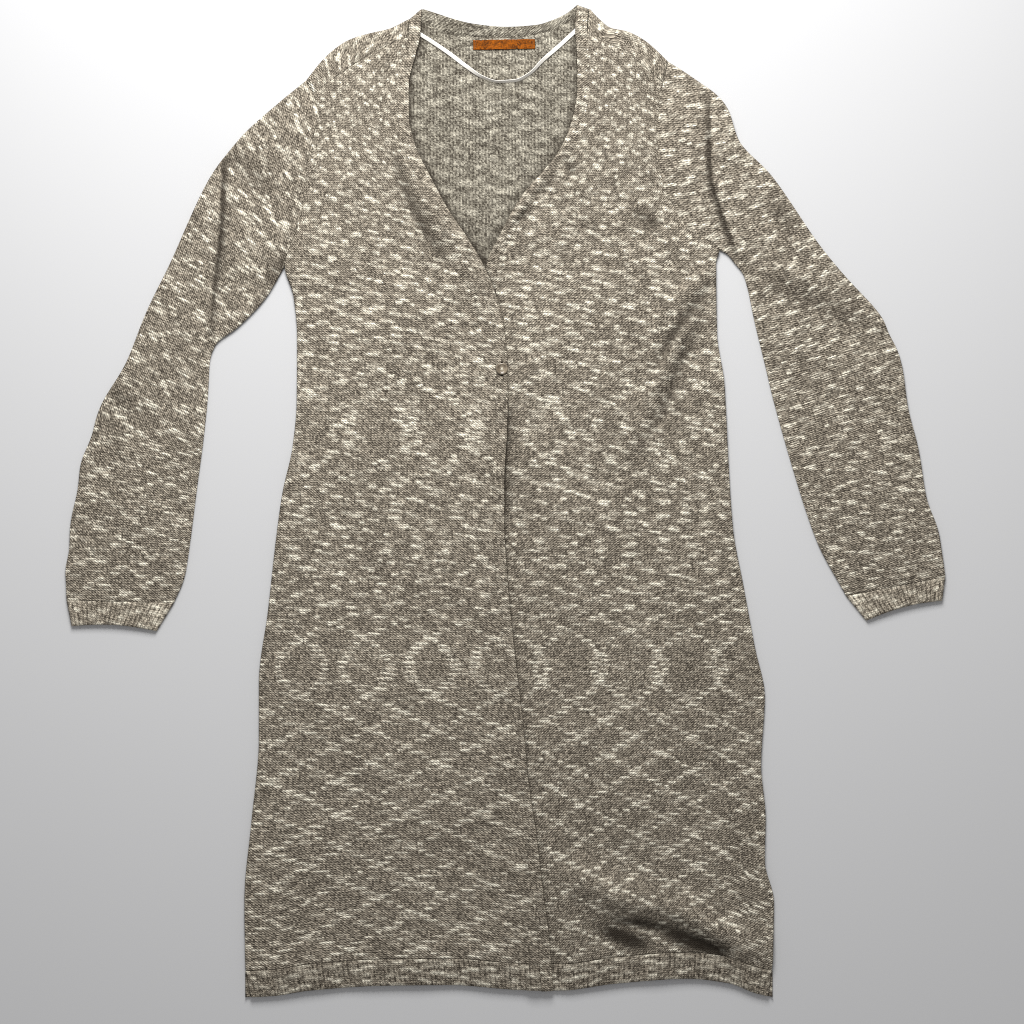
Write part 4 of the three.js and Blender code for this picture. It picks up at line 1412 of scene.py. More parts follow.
@dataclass(frozen=True)
class Half:
    """One half of the garment: where its seams end, and the fold over its shoulder."""

    side: Side
    name: str
    underarm: float
    armhole_top: float
    neck_corner: float
    band_top: float
    band_slant: float
    fold: tuple[Spot, ...]

    def shoulder_seam(self) -> Array:
        """The seam in front of the shoulder.

        Returns:
            Points from the armhole to the band.
        """
        share = np.linspace(0, 1, 41)[:, None]
        start = np.array([side_at(self.side, self.armhole_top), self.armhole_top])
        end = np.stack(beside_edge(self.side, np.float64(self.neck_corner), BAND_WIDTH))
        line = blend(start, end, share)
        line[:, 1] += 6 * np.sin(np.pi * share[:, 0])
        return line


RIGHT = Half(Side.RIGHT, "right", 258, 447, 507, 541, 12, RIGHT_FOLD)
LEFT = Half(Side.LEFT, "left", 276, 459, 514, 545.5, 5, LEFT_FOLD)


def turned_at_side(half: Half, y: Array, from_side: Array) -> Array:
    """How far the outer face of a front drops at its side seam, or at the armhole above it.

    Args:
        half: The front's half.
        y: The places' y.
        from_side: How far they are from its side.

    Returns:
        The drop at each place.
    """
    above = smooth(y, half.underarm - 14, half.underarm)
    return blend(drop(from_side, 3.2, 1.9), ditch(from_side), above)


@dataclass
class Front:
    """A front panel, from the hem's seam to the shoulder and from the side to the band."""

    half: Half
    rows: int = 300
    columns: int = 120
    flat: tuple[float, float] = (0.30, 1.05)
    area: float = 0.26

    def places(self) -> tuple[Array, Array, Array]:
        """Where the panel lies, seen from above.

        Returns:
            The x and y of its grid, and the share of the way over of each column.
        """
        half = self.half
        share, over = crowded(self.rows, 0.35), crowded(self.columns, 0.6)
        side_x = side_at(half.side, hem_at(0.0) + HEM_HEIGHT)
        y = blend(hem_seam_at(side_x), half.armhole_top, share)
        first = points_of(side_at(half.side, y), y)
        edge_x = edge_at(half.side, hem_at(0.0))
        levels = blend(hem_seam_at(edge_x), half.neck_corner, share)
        last = points_of(*beside_edge(half.side, levels, BAND_WIDTH))
        bottom_x = blend(first[0, 0], last[0, 0], over)
        bottom = points_of(bottom_x, hem_seam_at(bottom_x))
        bottom[0], bottom[-1] = first[0], last[0]
        x, y = fill_between(first, last, bottom, along_line(half.shoulder_seam(), over))
        return x, y, over

    def build(self, rack: Rack) -> bpy.types.Object:
        """Lays the panel and dresses it.

        Args:
            rack: The finishes.

        Returns:
            The finished piece.
        """
        half = self.half
        x, y, over = self.places()
        far = margins_of(x, y)
        z = front_height(half.side, x, y) + WALL - turned_at_side(half, y, far.first)
        z -= ditch(far.last) + ditch(far.bottom) + ditch(far.top, 0.5)
        laid = Laid(x, y, z, x - over[None, :] * wales_moved(half.side, y), rows_up(x, y))
        piece = lay_cloth(f"front_{half.name}_knit", laid, half.side is Side.LEFT)
        note_dimness(piece, lambda x, y: dim_front(half.side, x, y))
        thicken(piece)
        rack.dress(piece, f"knit of the {half.name} front")
        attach(piece, "root")
        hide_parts(f"front_{half.name}")
        return piece


@dataclass
class Band:
    """The folded strip on a front's free edge, from the hem to the fold beside the neck."""

    half: Half
    rows: int = 380
    columns: int = 15
    end_turn: float = 8.0
    flat: tuple[float, float] = (0.016, 1.13)
    slit: tuple[float, float] = (2.6, 15.0)

    def build(self, rack: Rack) -> bpy.types.Object:
        """Lays the band, cuts its buttonhole and dresses it.

        Args:
            rack: The finishes.

        Returns:
            The finished piece.
        """
        half = self.half
        foot = hem_at(edge_at(half.side, hem_at(0.0)))
        distance, level = np.meshgrid(
            crowded(self.columns, 0.4) * BAND_WIDTH,
            blend(foot, half.band_top, crowded(self.rows, 0.25)),
        )
        slant = distance / BAND_WIDTH * half.band_slant
        slant = slant * smooth(level, half.neck_corner, half.band_top - self.end_turn)
        x, y = beside_edge(half.side, level - slant, distance)
        y = y + (hem_at(x) - foot) * (1 - smooth(level, foot, foot + 40))
        to_end = half.band_top - level
        with_front = smooth(to_end, 0, self.end_turn)
        height = blend(np.full_like(x, LAYER), front_height(half.side, x, y), with_front)
        z = height + WALL + 0.35 * np.sin(np.pi * distance / BAND_WIDTH)
        z -= drop(distance, 2.4, 1.5) + ditch(BAND_WIDTH - distance)
        z -= drop(level - foot, 2.6, 1.2) + drop(to_end, 3.0, 1.0)
        laid = Laid(x, y, z, x - wales_moved(half.side, y), rows_up(x, y))
        piece = lay_cloth(f"band_{half.name}_knit", laid, half.side is Side.RIGHT)
        note_dimness(piece, lambda x, y: dim_front(half.side, x, y))
        if half.side is Side.RIGHT:
            self.cut_buttonhole(piece)
        thicken(piece)
        rack.dress(piece, f"knit of the {half.name} band")
        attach(piece, "root")
        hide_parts(f"band_{half.name}")
        return piece

    def cut_buttonhole(self, piece: bpy.types.Object) -> None:
        """Opens the slit under the button.

        Args:
            piece: The band, before it has its wall.
        """
        wide, long = self.slit
        bm = bmesh.new()
        bm.from_mesh(piece.data)
        inside = [
            face for face in bm.faces
            if abs(face.calc_center_median().x - BUTTON.x * MM) < wide / 2 * MM
            and abs(face.calc_center_median().y - BUTTON.y * MM) < long / 2 * MM
        ]
        bmesh.ops.delete(bm, geom=inside, context="FACES")
        bm.to_mesh(piece.data)
        bm.free()


def rib_profile(phase: Array) -> Array:
    """Rise of a rib over its groove, for a phase that grows by one for each rib."""
    return (0.5 - 0.5 * np.cos(2 * np.pi * phase)) ** 0.75


@dataclass
class FrontHem:
    """The ribbed hem under a front, linked to it stitch by stitch."""

    half: Half
    rows: int = 16
    rib_steps: int = 8
    rise: float = 1.0
    flat: tuple[float, float] = (0.30, 0.029)

    def build(self, rack: Rack) -> bpy.types.Object:
        """Lays the hem and dresses it.

        Args:
            rack: The finishes.

        Returns:
            The finished piece.
        """
        half = self.half
        front_x = Front(half, rows=12).places()[0]
        ribs = round(abs(front_x[0, -1] - front_x[0, 0]) / RIB_PITCH)
        over = np.linspace(0, 1, ribs * self.rib_steps + 1)
        up = crowded(self.rows, 0.5)
        top_x = blend(front_x[0, 0], front_x[0, -1], over)
        side_x = side_at(half.side, hem_at(top_x[0]))
        end_x = beside_edge(half.side, hem_at(edge_at(half.side, hem_at(0.0))), BAND_WIDTH)[0]
        bottom_x = blend(side_x, end_x, over)
        top_y = hem_seam_at(top_x)
        x = blend(bottom_x[None, :], top_x[None, :], up[:, None])
        y = blend(hem_at(bottom_x)[None, :], top_y[None, :], up[:, None])
        far = margins_of(x, y)
        rib = rib_profile(over * ribs)[None, :] * smooth(far.bottom, -1.5, 3) * smooth(far.top, -1, 3.5)
        z = front_height(half.side, x, y) + WALL + self.rise * rib
        z -= turned_at_side(half, y, far.first) + ditch(far.last)
        z -= drop(far.bottom, 2.2, 1.3) + ditch(far.top)
        across = over[None, :] * ribs * RIB_PITCH + 0 * x
        laid = Laid(x, y, z, across, far.bottom)
        piece = lay_cloth(f"hem_front_{half.name}_rib", laid, half.side is Side.LEFT)
        thicken(piece, 1.6)
        rack.dress(piece, "rib of the hem")
        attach(piece, "root")
        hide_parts(f"hem_front_{half.name}")
        return piece


@dataclass
class Back:
    """The back: one panel on the surface that folds over each shoulder to the seam in front."""

    rows: int = 150
    fold_columns: int = 26
    neck_columns: int = 60
    fold_radius: float = 2.15
    flat: tuple[float, float] = (0.58, 1.07)
    area: float = 0.53

    def near_fold(self) -> Array:
        """Distances from a fold at which the cloth is divided as it bends."""
        return np.array([0.0, 0.12, 0.35, 0.7, 1.1, 1.6, 2.15])

    def fold_points(self, half: Half) -> Array:
        """Points of the fold over a shoulder, from the armhole to the neck."""
        return trace(half.fold, np.linspace(0, 1, self.fold_columns))

    def lower_sheet(self) -> Laid:
        """The flat panel, whose outer face lies on the surface.

        Returns:
            Its places, from the hem's seam to the neck and the two folds.
        """
        right, left = self.fold_points(RIGHT), self.fold_points(LEFT)
        neck = trace(NECK_SEAM, np.linspace(0, 1, self.neck_columns))
        top = np.concatenate([right, neck[1:-1], left[::-1]])
        ends = []
        for side_table, line in ((RIGHT_SIDE, right), (LEFT_SIDE, left)):
            curve = curve_through(*zip(*side_table))
            lowest = hem_seam_at(curve(hem_at(0.0) + HEM_HEIGHT))
            length = line[0, 1] - lowest
            near = 1 - self.near_fold()[::-1] / length
            share = np.concatenate([crowded(self.rows, 0.3) * (near[0] - 0.004), near])
            y = blend(lowest, line[0, 1], share)
            ends.append(points_of(curve(y), y))
        first, last = ends
        first[-1], last[-1] = right[0], left[0]
        over = (top[:, 0] - top[0, 0]) / (top[-1, 0] - top[0, 0])
        bottom_x = blend(first[0, 0], last[0, 0], over)
        x, y = fill_between(first, last, points_of(bottom_x, hem_seam_at(bottom_x)), top, 12.0)
        far = margins_of(x, y)
        column = np.arange(len(top))
        at_fold = (column < self.fold_columns) | (column >= len(top) - self.fold_columns)
        z = drop(far.top, self.fold_radius, self.fold_radius) * at_fold[None, :]
        edge = np.minimum(far.first, far.last)
        z = np.maximum(z, drop(edge, 3.0, 2.0) * (1 - smooth(y, 240, 262)))
        return Laid(x, y, z, x, rows_up(x, y))

    def flap(self, half: Half) -> Laid:
        """The part that has folded over a shoulder, down to the seam in front of it.

        Args:
            half: The shoulder's half.

        Returns:
            Its places, whose rows and wales run on from the flat panel's.
        """
        fold = self.fold_points(half)
        seam = along_line(half.shoulder_seam(), np.linspace(0, 1, self.fold_columns))
        length = np.hypot(*(seam - fold).T)[None, :]
        near = self.near_fold()[:, None] / length
        rest = blend(near[-1:], 1.0, np.linspace(0, 1, 16)[1:, None])
        forward = np.concatenate([near, rest])
        x = blend(fold[None, :, 0], seam[None, :, 0], forward)
        y = blend(fold[None, :, 1], seam[None, :, 1], forward)
        level = front_height(half.side, x, y) + WALL - ditch((1 - forward) * length, 0.5)
        to_armhole = margins_of(x, y).first
        level -= ditch(to_armhole)
        bent = rounded(forward * length, 3.2)
        bent[0] = 0
        z = blend(self.fold_radius, level, bent)
        tangent = np.gradient(fold, axis=0)
        tangent /= np.hypot(*tangent.T)[:, None]
        past = (y - fold[:, 1]) * tangent[:, 0] - (x - fold[:, 0]) * tangent[:, 1]
        mirrored_x, mirrored_y = x + 2 * past * tangent[:, 1], y - 2 * past * tangent[:, 0]
        return Laid(x, y, z, mirrored_x, rows_up(mirrored_x, mirrored_y))

    def build(self, rack: Rack) -> bpy.types.Object:
        """Lays the panel with its two flaps and dresses it.

        Args:
            rack: The finishes.

        Returns:
            The finished piece.
        """
        sheets = [
            lay_cloth("back_knit", self.lower_sheet(), True),
            lay_cloth("flap_right", self.flap(RIGHT), True),
            lay_cloth("flap_left", self.flap(LEFT), False),
        ]
        piece = join_cloth(sheets)
        note_dimness(piece, dim_inside)
        rack.dress(piece, "knit of the back", "inside of the back")
        thicken(piece, WALL, inner=1)
        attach(piece, "root")
        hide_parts("back")
        return piece


@dataclass
class BackHem:
    """The ribbed hem under the back, which shows its ribs on the inside only."""

    rows: int = 14
    rib_steps: int = 6
    flat: tuple[float, float] = (0.58, 0.029)

    def build(self, rack: Rack) -> bpy.types.Object:
        """Lays the hem and dresses it.

        Args:
            rack: The finishes.

        Returns:
            The finished piece.
        """
        level = hem_at(0.0) + HEM_HEIGHT
        ends = [float(side_at(side, np.float64(level))) for side in Side]
        ribs = round((ends[1] - ends[0]) / RIB_PITCH)
        over, up = np.linspace(0, 1, ribs * self.rib_steps + 1), crowded(self.rows, 0.5)
        x = blend(ends[0], ends[1], over)[None, :] + 0 * up[:, None]
        y = blend(hem_at(x), hem_seam_at(x), up[:, None])
        far = margins_of(x, y)
        edge = np.minimum(far.first, far.last)
        z = drop(edge, 3.0, 1.4) + drop(far.bottom, 2.4, 1.2)
        across = over[None, :] * ribs * RIB_PITCH + 0 * x
        piece = lay_cloth("hem_back_rib", Laid(x, y, z, across, far.bottom), True)
        thicken(piece)
        rack.dress(piece, "rib of the hem")
        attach(piece, "root")
        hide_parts("hem_back")
        return piece


@dataclass
class BackNeckband:
    """The strip along the back neck, from its seam to its free edge."""

    rows: int = 16
    columns: int = 110
    flat: tuple[float, float] = (0.22, 0.015)

    def build(self, rack: Rack) -> bpy.types.Object:
        """Lays the neckband and dresses it.

        Args:
            rack: The finishes.

        Returns:
            The finished piece.
        """
        share = np.linspace(0.004, 0.996, self.columns)
        seam, free = trace(NECK_SEAM, share), trace(NECK_FREE, share)
        up = crowded(self.rows, 0.4)[:, None]
        x = blend(seam[None, :, 0], free[None, :, 0], up)
        y = blend(seam[None, :, 1], free[None, :, 1], up)
        far = margins_of(x, y)
        z = WALL + 0.3 + 0.5 * np.sin(np.pi * up) - drop(far.top, 2.4, 0.9) - ditch(far.bottom)
        piece = lay_cloth("neckband_back_knit", Laid(x, y, z, far.first, far.bottom))
        thicken(piece, 1.4)
        rack.dress(piece, "inside of the back")
        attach(piece, "root")
        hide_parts("neckband_back")
        return piece


def tube_round(top_count: int, under_count: int, ends: float) -> tuple[Array, Array]:
    """Shares across a flattened tube, once round it, and whether each is on the top.

    Args:
        top_count: Places over the top, with both folds.
        under_count: Places underneath, with both folds.
        ends: How much closer they lie beside the folds.

    Returns:
        The shares from the outer fold over the top and back, the first one twice, and 1 for a
        place on the top or 0 for one underneath.
    """
    over, back = crowded(top_count, ends), crowded(under_count, ends)[::-1]
    share = np.concatenate([over, back[1:]])
    return share, np.concatenate([np.ones(top_count), np.zeros(under_count - 1)])


def beside_spine(x: Array, y: Array, spine: Array) -> tuple[Array, Array]:
    """How far aside of a curved line places are, and how far along it from its end.

    Args:
        x: The places' x.
        y: Their y.
        spine: Points of the line, close together.

    Returns:
        The distance to the right of the line as it runs back from its end, and along it.
    """
    step = np.gradient(spine, axis=0)
    step /= np.hypot(*step.T)[:, None]
    run = np.concatenate([[0], np.hypot(*np.diff(spine, axis=0).T).cumsum()])
    flat = points_of(x.ravel(), y.ravel())
    apart = flat[:, None, :] - spine[None, ::4, :]
    nearest = np.argmin(np.hypot(*apart.transpose(2, 0, 1)), axis=1) * 4
    offset = flat - spine[nearest]
    along = run[nearest] + (offset * step[nearest]).sum(axis=1)
    at = np.clip(np.searchsorted(run, along), 0, len(spine) - 1)
    offset, turned = flat - spine[at], step[at]
    aside = turned[:, 0] * offset[:, 1] - turned[:, 1] * offset[:, 0]
    return aside.reshape(x.shape), (run[-1] - along).reshape(x.shape)


def lay_tube(
    outer: Array, inner: Array, rise: Array, share: Array, on_top: Array,
    extra: Callable[[Array, Array, Array], Array], move: tuple[Array, Array], spine: Array,
) -> Laid:
    """A flattened tube between its two folds.

    Args:
        outer: Points of the outer fold, one for each row.
        inner: Points of the inner fold.
        rise: Air in the tube for each row.
        share: Shares across, once round.
        on_top: 1 for each share over the top and 0 underneath.
        extra: Height to add to the top at x, y and the share across.
        move: How far the rows bend, in x and y.
        spine: Points of the line that the knitted rows lie square to.

    Returns:
        The tube's places, with the cloth's own place round it and along it.
    """
    x = blend(outer[:, None, 0], inner[:, None, 0], share[None, :]) + move[0]
    y = blend(outer[:, None, 1], inner[:, None, 1], share[None, :]) + move[1]
    width = np.hypot(*(outer - inner).T)[:, None]
    from_fold = np.minimum(share, 1 - share)[None, :] * width
    middle = LAYER - 0.15
    air = 0.3 + rise[:, None] * np.sin(np.pi * share)[None, :]
    top = 2 * WALL + air + extra(x, y, share[None, :] + 0 * x)
    over = blend(middle, top, rounded(from_fold, 3.4))
    under = middle * (1 - rounded(from_fold, middle))
    z = np.where(on_top[None, :] > 0, over, under)
    aside, along = beside_spine(x, y, spine)
    return Laid(x, y, z, np.where(on_top[None, :] > 0, aside, 2 * SLEEVE_TURN - aside), along)


@dataclass
class Sleeve:
    """A sleeve from the armhole to the cuff's seam, one flattened tube."""

    half: Half
    stations: tuple[Section, ...]
    spine: tuple[Spot, ...]
    rows: int = 190
    top_places: int = 126
    under_places: int = 26
    spine_points: int = 400
    fade: float = 0.28
    ripple: float = 1.5
    flat: tuple[float, float] = (0.40, 0.56)
    area: float = 0.17

    def build(self, rack: Rack) -> bpy.types.Object:
        """Lays the sleeve and dresses it.

        Args:
            rack: The finishes.

        Returns:
            The finished piece.
        """
        half = self.half
        along = crowded(self.rows, 0.4)
        outer_x, outer_y, inner_x, inner_y, rise = path_through(self.stations)(along)
        outer, inner = points_of(outer_x, outer_y), points_of(inner_x, inner_y)
        turns = 8 * along + 0.3 * np.sin(9 * along)
        ripple = self.ripple * np.sin(np.pi * along) * np.sin(2 * np.pi * turns)
        outward = outer - inner
        outer = outer + outward / np.hypot(*outward.T)[:, None] * ripple[:, None]
        share, on_top = tube_round(self.top_places, self.under_places, 0.8)
        fold_start = np.array(half.fold[0])
        y_line = blend(fold_start[1], half.underarm, share)
        armhole = points_of(side_at(half.side, y_line), y_line)
        straight = blend(fold_start, armhole[np.argmax(share)], share[:, None])
        bend = armhole - straight
        fading = np.maximum(0, 1 - along / self.fade)[:, None] ** 2
        middle = (outer + inner) / 2
        run = np.concatenate([[0], np.hypot(*np.diff(middle, axis=0).T).cumsum()])[:, None]
        to_cuff = run[-1] - run

        def extra(x: Array, y: Array, across: Array) -> Array:
            """Folds, waves and the grooves of the seams.

            Args:
                x: The places' x.
                y: Their y.
                across: The share of the way across the tube.

            Returns:
                The height that they add.
            """
            waves = (0.4 + unevenness(x + 31, y - 17, 62, 0.5)) * np.sin(np.pi * across)
            return fold_height(x, y, SLEEVE_FOLDS) + waves - ditch(run + 0 * x) - ditch(to_cuff + 0 * x)

        move = (bend[None, :, 0] * fading, bend[None, :, 1] * fading)
        spine = trace(self.spine, np.linspace(0, 1, self.spine_points))
        laid = lay_tube(outer, inner, rise, share, on_top, extra, move, spine)
        piece = join_cloth([lay_cloth(f"sleeve_{half.name}_knit", laid, half.side is Side.RIGHT)])
        note_dimness(piece, lambda x, y: fold_height(x, y, PAINTED_SLEEVE_SHADE))
        thicken(piece)
        rack.dress(piece, f"knit of the {half.name} sleeve")
        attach(piece, "root")
        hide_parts(f"sleeve_{half.name}")
        return piece


@dataclass
class Cuff:
    """A ribbed cuff from its seam with the sleeve to its open end."""

    half: Half
    start: Section
    end: Section
    rows: int = 18
    rib_steps: int = 8
    rise: float = 1.0
    bow: float = 4.0
    flat: tuple[float, float] = (0.22, 0.028)

    def build(self, rack: Rack) -> bpy.types.Object:
        """Lays the cuff and dresses it.

        Args:
            rack: The finishes.

        Returns:
            The finished piece.
        """
        along = crowded(self.rows, 0.5)
        sections = [blend(a, b, along) for a, b in zip(self.start, self.end)]
        outer, inner = points_of(sections[0], sections[1]), points_of(sections[2], sections[3])
        start = self.start
        width = math.hypot(start.outer_x - start.inner_x, start.outer_y - start.inner_y)
        ribs = round(width / RIB_PITCH)
        over = np.linspace(0, 1, ribs * self.rib_steps + 1)
        back = over[::-2]
        share = np.concatenate([over, back[1:]])
        on_top = np.concatenate([np.ones(len(over)), np.zeros(len(back) - 1)])

        def extra(x: Array, y: Array, across: Array) -> Array:
            """Ribs, the groove of the seam and the rounded open end.

            Args:
                x: The places' x.
                y: Their y.
                across: The share of the way across the tube.

            Returns:
                The height that they add.
            """
            run = (along * CUFF_HEIGHT)[:, None] + 0 * x
            to_end = CUFF_HEIGHT - run
            rib = rib_profile(across * ribs) * smooth(run, -1, 3.5) * smooth(to_end, -1.5, 3)
            return self.rise * rib - ditch(run) - drop(to_end, 2.2, 1.0)

        move = (0.0, self.bow * along[:, None] ** 2 * np.sin(np.pi * share)[None, :])
        laid = lay_tube(outer, inner, sections[4], share, on_top, extra, move, (outer + inner) / 2)
        across = np.where(on_top > 0, share, 2 - share)[None, :] * ribs * RIB_PITCH + 0 * laid.x
        on_right = self.half.side is Side.RIGHT
        laid = laid._replace(across=across)
        piece = join_cloth([lay_cloth(f"cuff_{self.half.name}_rib", laid, on_right)])
        thicken(piece, 1.7)
        rack.dress(piece, "rib of the cuffs")
        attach(piece, "root")
        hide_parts(f"cuff_{self.half.name}")
        return piece


def stitch(bm: bmesh.types.BMesh, start: Vector, end: Vector, radius: float) -> None:
    """Adds one short stitch of thread.

    Args:
        bm: The bmesh that holds the stitches.
        start: One end, in millimetres.
        end: The other end.
        radius: Half the thread's thickness.
    """
    along = end - start
    turn = Vector((0, 0, 1)).rotation_difference(along).to_matrix().to_4x4()
    made = bmesh.ops.create_uvsphere(bm, u_segments=8, v_segments=6, radius=1.0)
    scale = Vector((radius, radius, along.length / 2 + radius * 0.5)) * MM
    bmesh.ops.scale(bm, vec=scale, verts=made["verts"])
    bmesh.ops.rotate(bm, matrix=turn, verts=made["verts"])
    bmesh.ops.translate(bm, vec=(start + end) / 2 * MM, verts=made["verts"])


@dataclass
class Label:
    """The bare leather label under the back neckband, stitched down at both ends."""

    x: float = -1.5
    y: float = 501.8
    width: float = 68.0
    height: float = 10.6
    thickness: float = 1.2
    turn: float = 0.018
    bottom: float = LAYER

    def place(self, across: float, up: float, lift: float) -> Vector:
        """A point on the label as it lies, slightly turned.

        Args:
            across: How far right of its middle.
            up: How far above its middle.
            lift: How far over its lower face.

        Returns:
            The point in millimetres of the garment.
        """
        flat = Vector((across, up, lift))
        flat.rotate(Vector((1, 0, 0)).rotation_difference(Vector((1, self.turn, 0))))
        return flat + Vector((self.x, self.y, self.bottom))

    def build(self, rack: Rack) -> list[bpy.types.Object]:
        """Cuts the leather, rounds its edges and sews it down.

        Args:
            rack: The finishes.

        Returns:
            The leather and its stitches.
        """
        bm = bmesh.new()
        bmesh.ops.create_grid(bm, x_segments=60, y_segments=10, size=0.5)
        for vert in bm.verts:
            across, up = vert.co.x * self.width, vert.co.y * self.height
            uneven = 0.28 * math.sin(across * 0.31 + 0.6) + 0.16 * math.sin(across * 0.83)
            lift = 0.12 * math.sin(across * 0.2 + 1.0) * math.sin(up * 0.5 + 0.7)
            vert.co = self.place(across, up * (1 + uneven / self.height), self.thickness + lift) * MM
        for face in bm.faces:
            face.smooth = True
        leather = finish_mesh("neck_label_leather", bm)
        thicken(leather, self.thickness)
        rounding = leather.modifiers.new("rounded edges", "BEVEL")
        rounding.width, rounding.segments, rounding.angle_limit = 0.3 * MM, 2, 0.8
        rack.dress(leather, "label leather")
        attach(leather, "root")
        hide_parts("neck_label")
        bm = bmesh.new()
        for end in (-1, 1):
            for i in range(5):
                up = (i - 2) * 1.9
                inner = self.place(end * (self.width / 2 - 2.4), up, self.thickness + 0.1)
                outer = self.place(end * (self.width / 2 - 2.2), up + 1.3, self.thickness + 0.1)
                stitch(bm, inner, outer, 0.28)
        sewing = finish_mesh("neck_label_stitches", bm)
        rack.dress(sewing, "tan thread")
        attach(sewing, "root")
        return [leather, sewing]


@dataclass
class HangerTape:
    """The ribbon that hangs in a curve between the two neck points."""

    width: float = 4.5
    thickness: float = 0.45
    columns: int = 7
    rows: int = 140

    def build(self, rack: Rack) -> bpy.types.Object:
        """Lays the ribbon, which tilts on its edge at its lowest place.

        Args:
            rack: The finishes.

        Returns:
            The finished piece.
        """
        share = np.linspace(0, 1, self.rows)
        line = trace(TAPE_LINE, share)
        ahead, behind = np.minimum(share + 0.02, 1), np.maximum(share - 0.02, 0)
        near = trace(TAPE_LINE, ahead) - trace(TAPE_LINE, behind)
        near /= np.hypot(*near.T)[:, None]
        tilt = np.radians(14 + 50 * np.exp(-(((share - 0.55) / 0.22) ** 2)) + 9 * np.sin(share * 19))
        hand = np.linspace(-0.5, 0.5, self.columns)[None, :] * self.width
        x = line[:, None, 0] - near[:, None, 1] * hand * np.cos(tilt)[:, None]
        y = line[:, None, 1] + near[:, None, 0] * hand * np.cos(tilt)[:, None]
        rest = LAYER + 0.35 + self.thickness / 2
        low = self.width / 2 * np.abs(np.sin(tilt))
        z = rest + low[:, None] + hand * np.sin(tilt)[:, None]
        run = margins_of(x, y).bottom
        piece = lay_cloth("hanger_tape_satin", Laid(x, y, z, hand + 0 * x, run), True)
        thicken(piece, self.thickness)
        rack.dress(piece, "satin tape")
        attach(piece, "root")
        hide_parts("hanger_tape")
        return piece


@dataclass(frozen=True)
class Button:
    """The one button, sewn on through four holes, with its buttonhole's stitches."""

    x: float = -3.9
    y: float = 145.0
    thickness: float = 2.6
    stem: float = 1.2
    hole_spread: float = 1.35
    segments: int = 56

    def seat(self) -> float:
        """Height of the cloth's face under the button."""
        return float(front_height(Side.RIGHT, np.float64(self.x), np.float64(self.y))) + WALL + 0.1

    def build(self, rack: Rack) -> list[bpy.types.Object]:
        """Turns the button and sews it on.

        Args:
            rack: The finishes.

        Returns:
            The button, its thread and the buttonhole's stitches.
        """
        seat = self.seat()
        top = seat + self.thickness
        profile = (
            (0.0, seat), (4.6, seat), (5.9, seat + 0.35), (6.4, seat + 0.9), (6.5, seat + 1.5),
            (6.3, top - 0.5), (5.9, top - 0.1), (5.4, top), (4.9, top - 0.1), (4.4, top - 0.5),
            (3.8, top - 0.85), (3.0, top - 1.0), (0.0, top - 1.0),
        )
        bm = bmesh.new()
        knots = [bm.verts.new(Vector((radius, 0, height)) * MM) for radius, height in profile]
        rim = [bm.edges.new(pair) for pair in zip(knots, knots[1:])]
        bmesh.ops.spin(
            bm, geom=knots + rim, cent=(0, 0, 0), axis=(0, 0, 1), angle=2 * math.pi,
            steps=self.segments, use_merge=True,
        )
        bmesh.ops.remove_doubles(bm, verts=bm.verts, dist=0.005 * MM)
        bmesh.ops.recalc_face_normals(bm, faces=bm.faces)
        bmesh.ops.translate(bm, vec=Vector((self.x, self.y, 0)) * MM, verts=bm.verts)
        for face in bm.faces:
            face.smooth = True
        disc = finish_mesh("button_resin", bm)
        rack.dress(disc, "button resin")
        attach(disc, "root")
        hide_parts("button")
        return [disc, self.thread(rack, top - 0.9), self.buttonhole(rack, seat)]

    def thread(self, rack: Rack, level: float) -> bpy.types.Object:
        """Sews two crossed loops of thread over the dish, and the stem under the button.

        Args:
            rack: The finishes.
            level: Height of the dish, in millimetres.

        Returns:
            The finished piece.
        """
        bm = bmesh.new()
        spread = self.hole_spread
        for turn in (-1, 1):
            for shift in (-0.3, 0.0, 0.3):
                start = Vector((self.x - spread + shift, self.y - turn * spread - turn * shift, level))
                end = Vector((self.x + spread + shift, self.y + turn * spread - turn * shift, level))
                stitch(bm, start, end, 0.26)
        foot = self.seat() - WALL
        for i in range(6):
            angle = i * math.pi / 3
            aside = Vector((math.cos(angle), math.sin(angle), 0)) * self.stem * 0.6
            middle = Vector((self.x, self.y, 0)) + aside
            stitch(bm, middle + Vector((0, 0, foot)), middle + Vector((0, 0, foot + WALL + 0.4)), 0.5)
        piece = finish_mesh("button_thread", bm)
        rack.dress(piece, "cream thread")
        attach(piece, "root")
        return piece

    def buttonhole(self, rack: Rack, level: float) -> bpy.types.Object:
        """Oversews the edges of the buttonhole.

        Args:
            rack: The finishes.
            level: Height of the cloth's face there, in millimetres.

        Returns:
            The finished piece.
        """
        bm = bmesh.new()
        for side in (-1, 1):
            for i in range(17):
                up = self.y + (i - 8) * 0.98
                start = Vector((self.x + side * 1.2, up, level - 0.1))
                stitch(bm, start, start + Vector((side * 1.3, 0.1, -0.05)), 0.34)
        for end in (-1, 1):
            for i in range(4):
                start = Vector((self.x - 1.8 + i * 1.2, self.y + end * 8.0, level - 0.1))
                stitch(bm, start, start + Vector((0, end * 0.9, -0.05)), 0.34)
        piece = finish_mesh("buttonhole_stitches", bm)
        rack.dress(piece, "taupe thread")
        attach(piece, "root")
        return piece


BUTTON = Button()


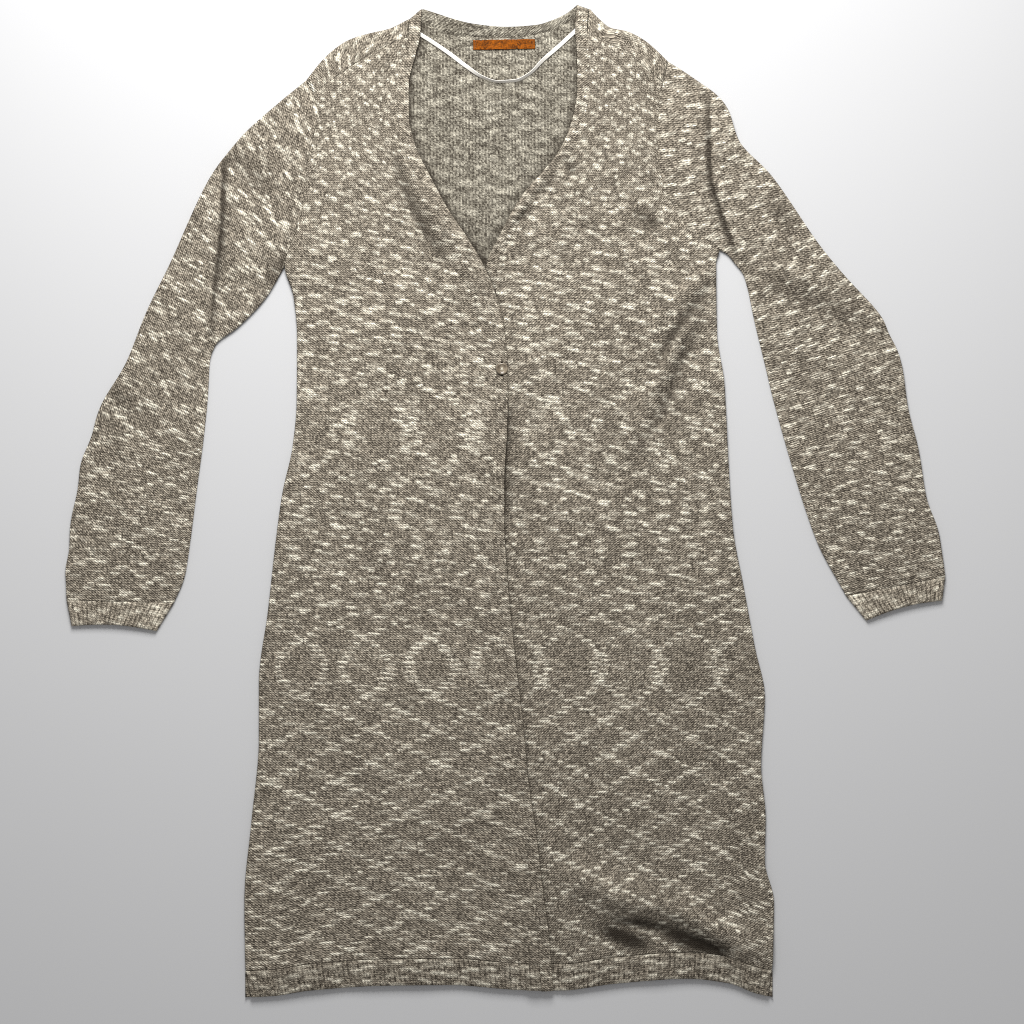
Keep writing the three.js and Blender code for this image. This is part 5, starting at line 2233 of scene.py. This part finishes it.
@dataclass
class Studio:
    """The pale floor, the soft light and the camera straight above.

    The camera's sizes are millimetres; those of the floor and the light are metres.
    """

    span: float = 1126.4
    centre_x: float = 7.15
    centre_y: float = -12.1
    distance: float = 3500.0
    sensor: float = 36.0
    floor: float = 6.0
    floor_drop: float = 0.0004
    floor_tint: tuple[int, int, int] = (202, 202, 202)
    key_power: float = 36.0
    key_size: float = 0.8
    key_place: tuple[float, float, float] = (-0.1, 1.25, 1.05)
    fill: float = 0.37
    fill_tint: tuple[int, int, int] = (250, 250, 252)

    def build(self) -> None:
        """Sets up the stage."""
        self.lay_floor()
        self.hang_light()
        self.place_camera()

    def lay_floor(self) -> None:
        """Lays the plain pale floor just under the garment."""
        bm = bmesh.new()
        bmesh.ops.create_grid(bm, x_segments=1, y_segments=1, size=self.floor)
        bmesh.ops.translate(bm, vec=(0, 0, -self.floor_drop), verts=bm.verts)
        floor = finish_mesh("floor", bm)
        material, shader = new_material("pale floor", 0.9)
        shader.inputs["Base Color"].default_value = paint(*self.floor_tint)
        floor.data.materials.append(material)

    def hang_light(self) -> None:
        """Hangs one large soft light beyond the neck, and keeps the fine knit sharp."""
        key = bpy.data.objects.new("key light", bpy.data.lights.new("key light", "AREA"))
        key.data.energy = self.key_power
        key.data.size = self.key_size
        key.location = self.key_place
        key.rotation_euler = (Vector((0, 0, 0)) - key.location).to_track_quat("-Z", "Y").to_euler()
        bpy.context.scene.collection.objects.link(key)
        world = bpy.data.worlds.new("soft room")
        world.use_nodes = True
        room = world.node_tree.nodes["Background"]
        room.inputs["Color"].default_value = paint(*self.fill_tint)
        room.inputs["Strength"].default_value = self.fill
        scene = bpy.context.scene
        scene.world = world
        scene.view_settings.view_transform = "Standard"
        scene.cycles.use_denoising = False
        scene.cycles.filter_width = 1.0

    def place_camera(self) -> None:
        """Hangs the camera straight above the garment, with its top towards the neck."""
        camera = bpy.data.objects.new("camera", bpy.data.cameras.new("camera"))
        camera.data.sensor_width = self.sensor
        camera.data.lens = self.sensor * self.distance / self.span
        camera.location = Vector((self.centre_x, self.centre_y, self.distance)) * MM
        bpy.context.scene.collection.objects.link(camera)
        bpy.context.scene.camera = camera


def main() -> None:
    """Builds the garment piece by piece, then the studio, and reports each piece."""
    logging.basicConfig(level=logging.INFO, format="%(message)s")
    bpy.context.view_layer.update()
    rack = Rack()
    parts = (
        Back(), BackHem(), Label(), HangerTape(), BackNeckband(),
        Sleeve(RIGHT, RIGHT_SLEEVE, RIGHT_SPINE), Sleeve(LEFT, LEFT_SLEEVE, LEFT_SPINE),
        Cuff(RIGHT, RIGHT_SLEEVE[-1], RIGHT_CUFF_END), Cuff(LEFT, LEFT_SLEEVE[-1], LEFT_CUFF_END),
        Front(LEFT), FrontHem(LEFT), Band(LEFT), Front(RIGHT), FrontHem(RIGHT), Band(RIGHT),
        BUTTON,
    )
    for part in parts:
        built = part.build(rack)
        for piece in built if isinstance(built, list) else [built]:
            log.info("%s: %d faces before its wall", piece.name, len(piece.data.polygons))
    Studio().build()
    bpy.context.view_layer.update()


if __name__ == "__main__":
    main()
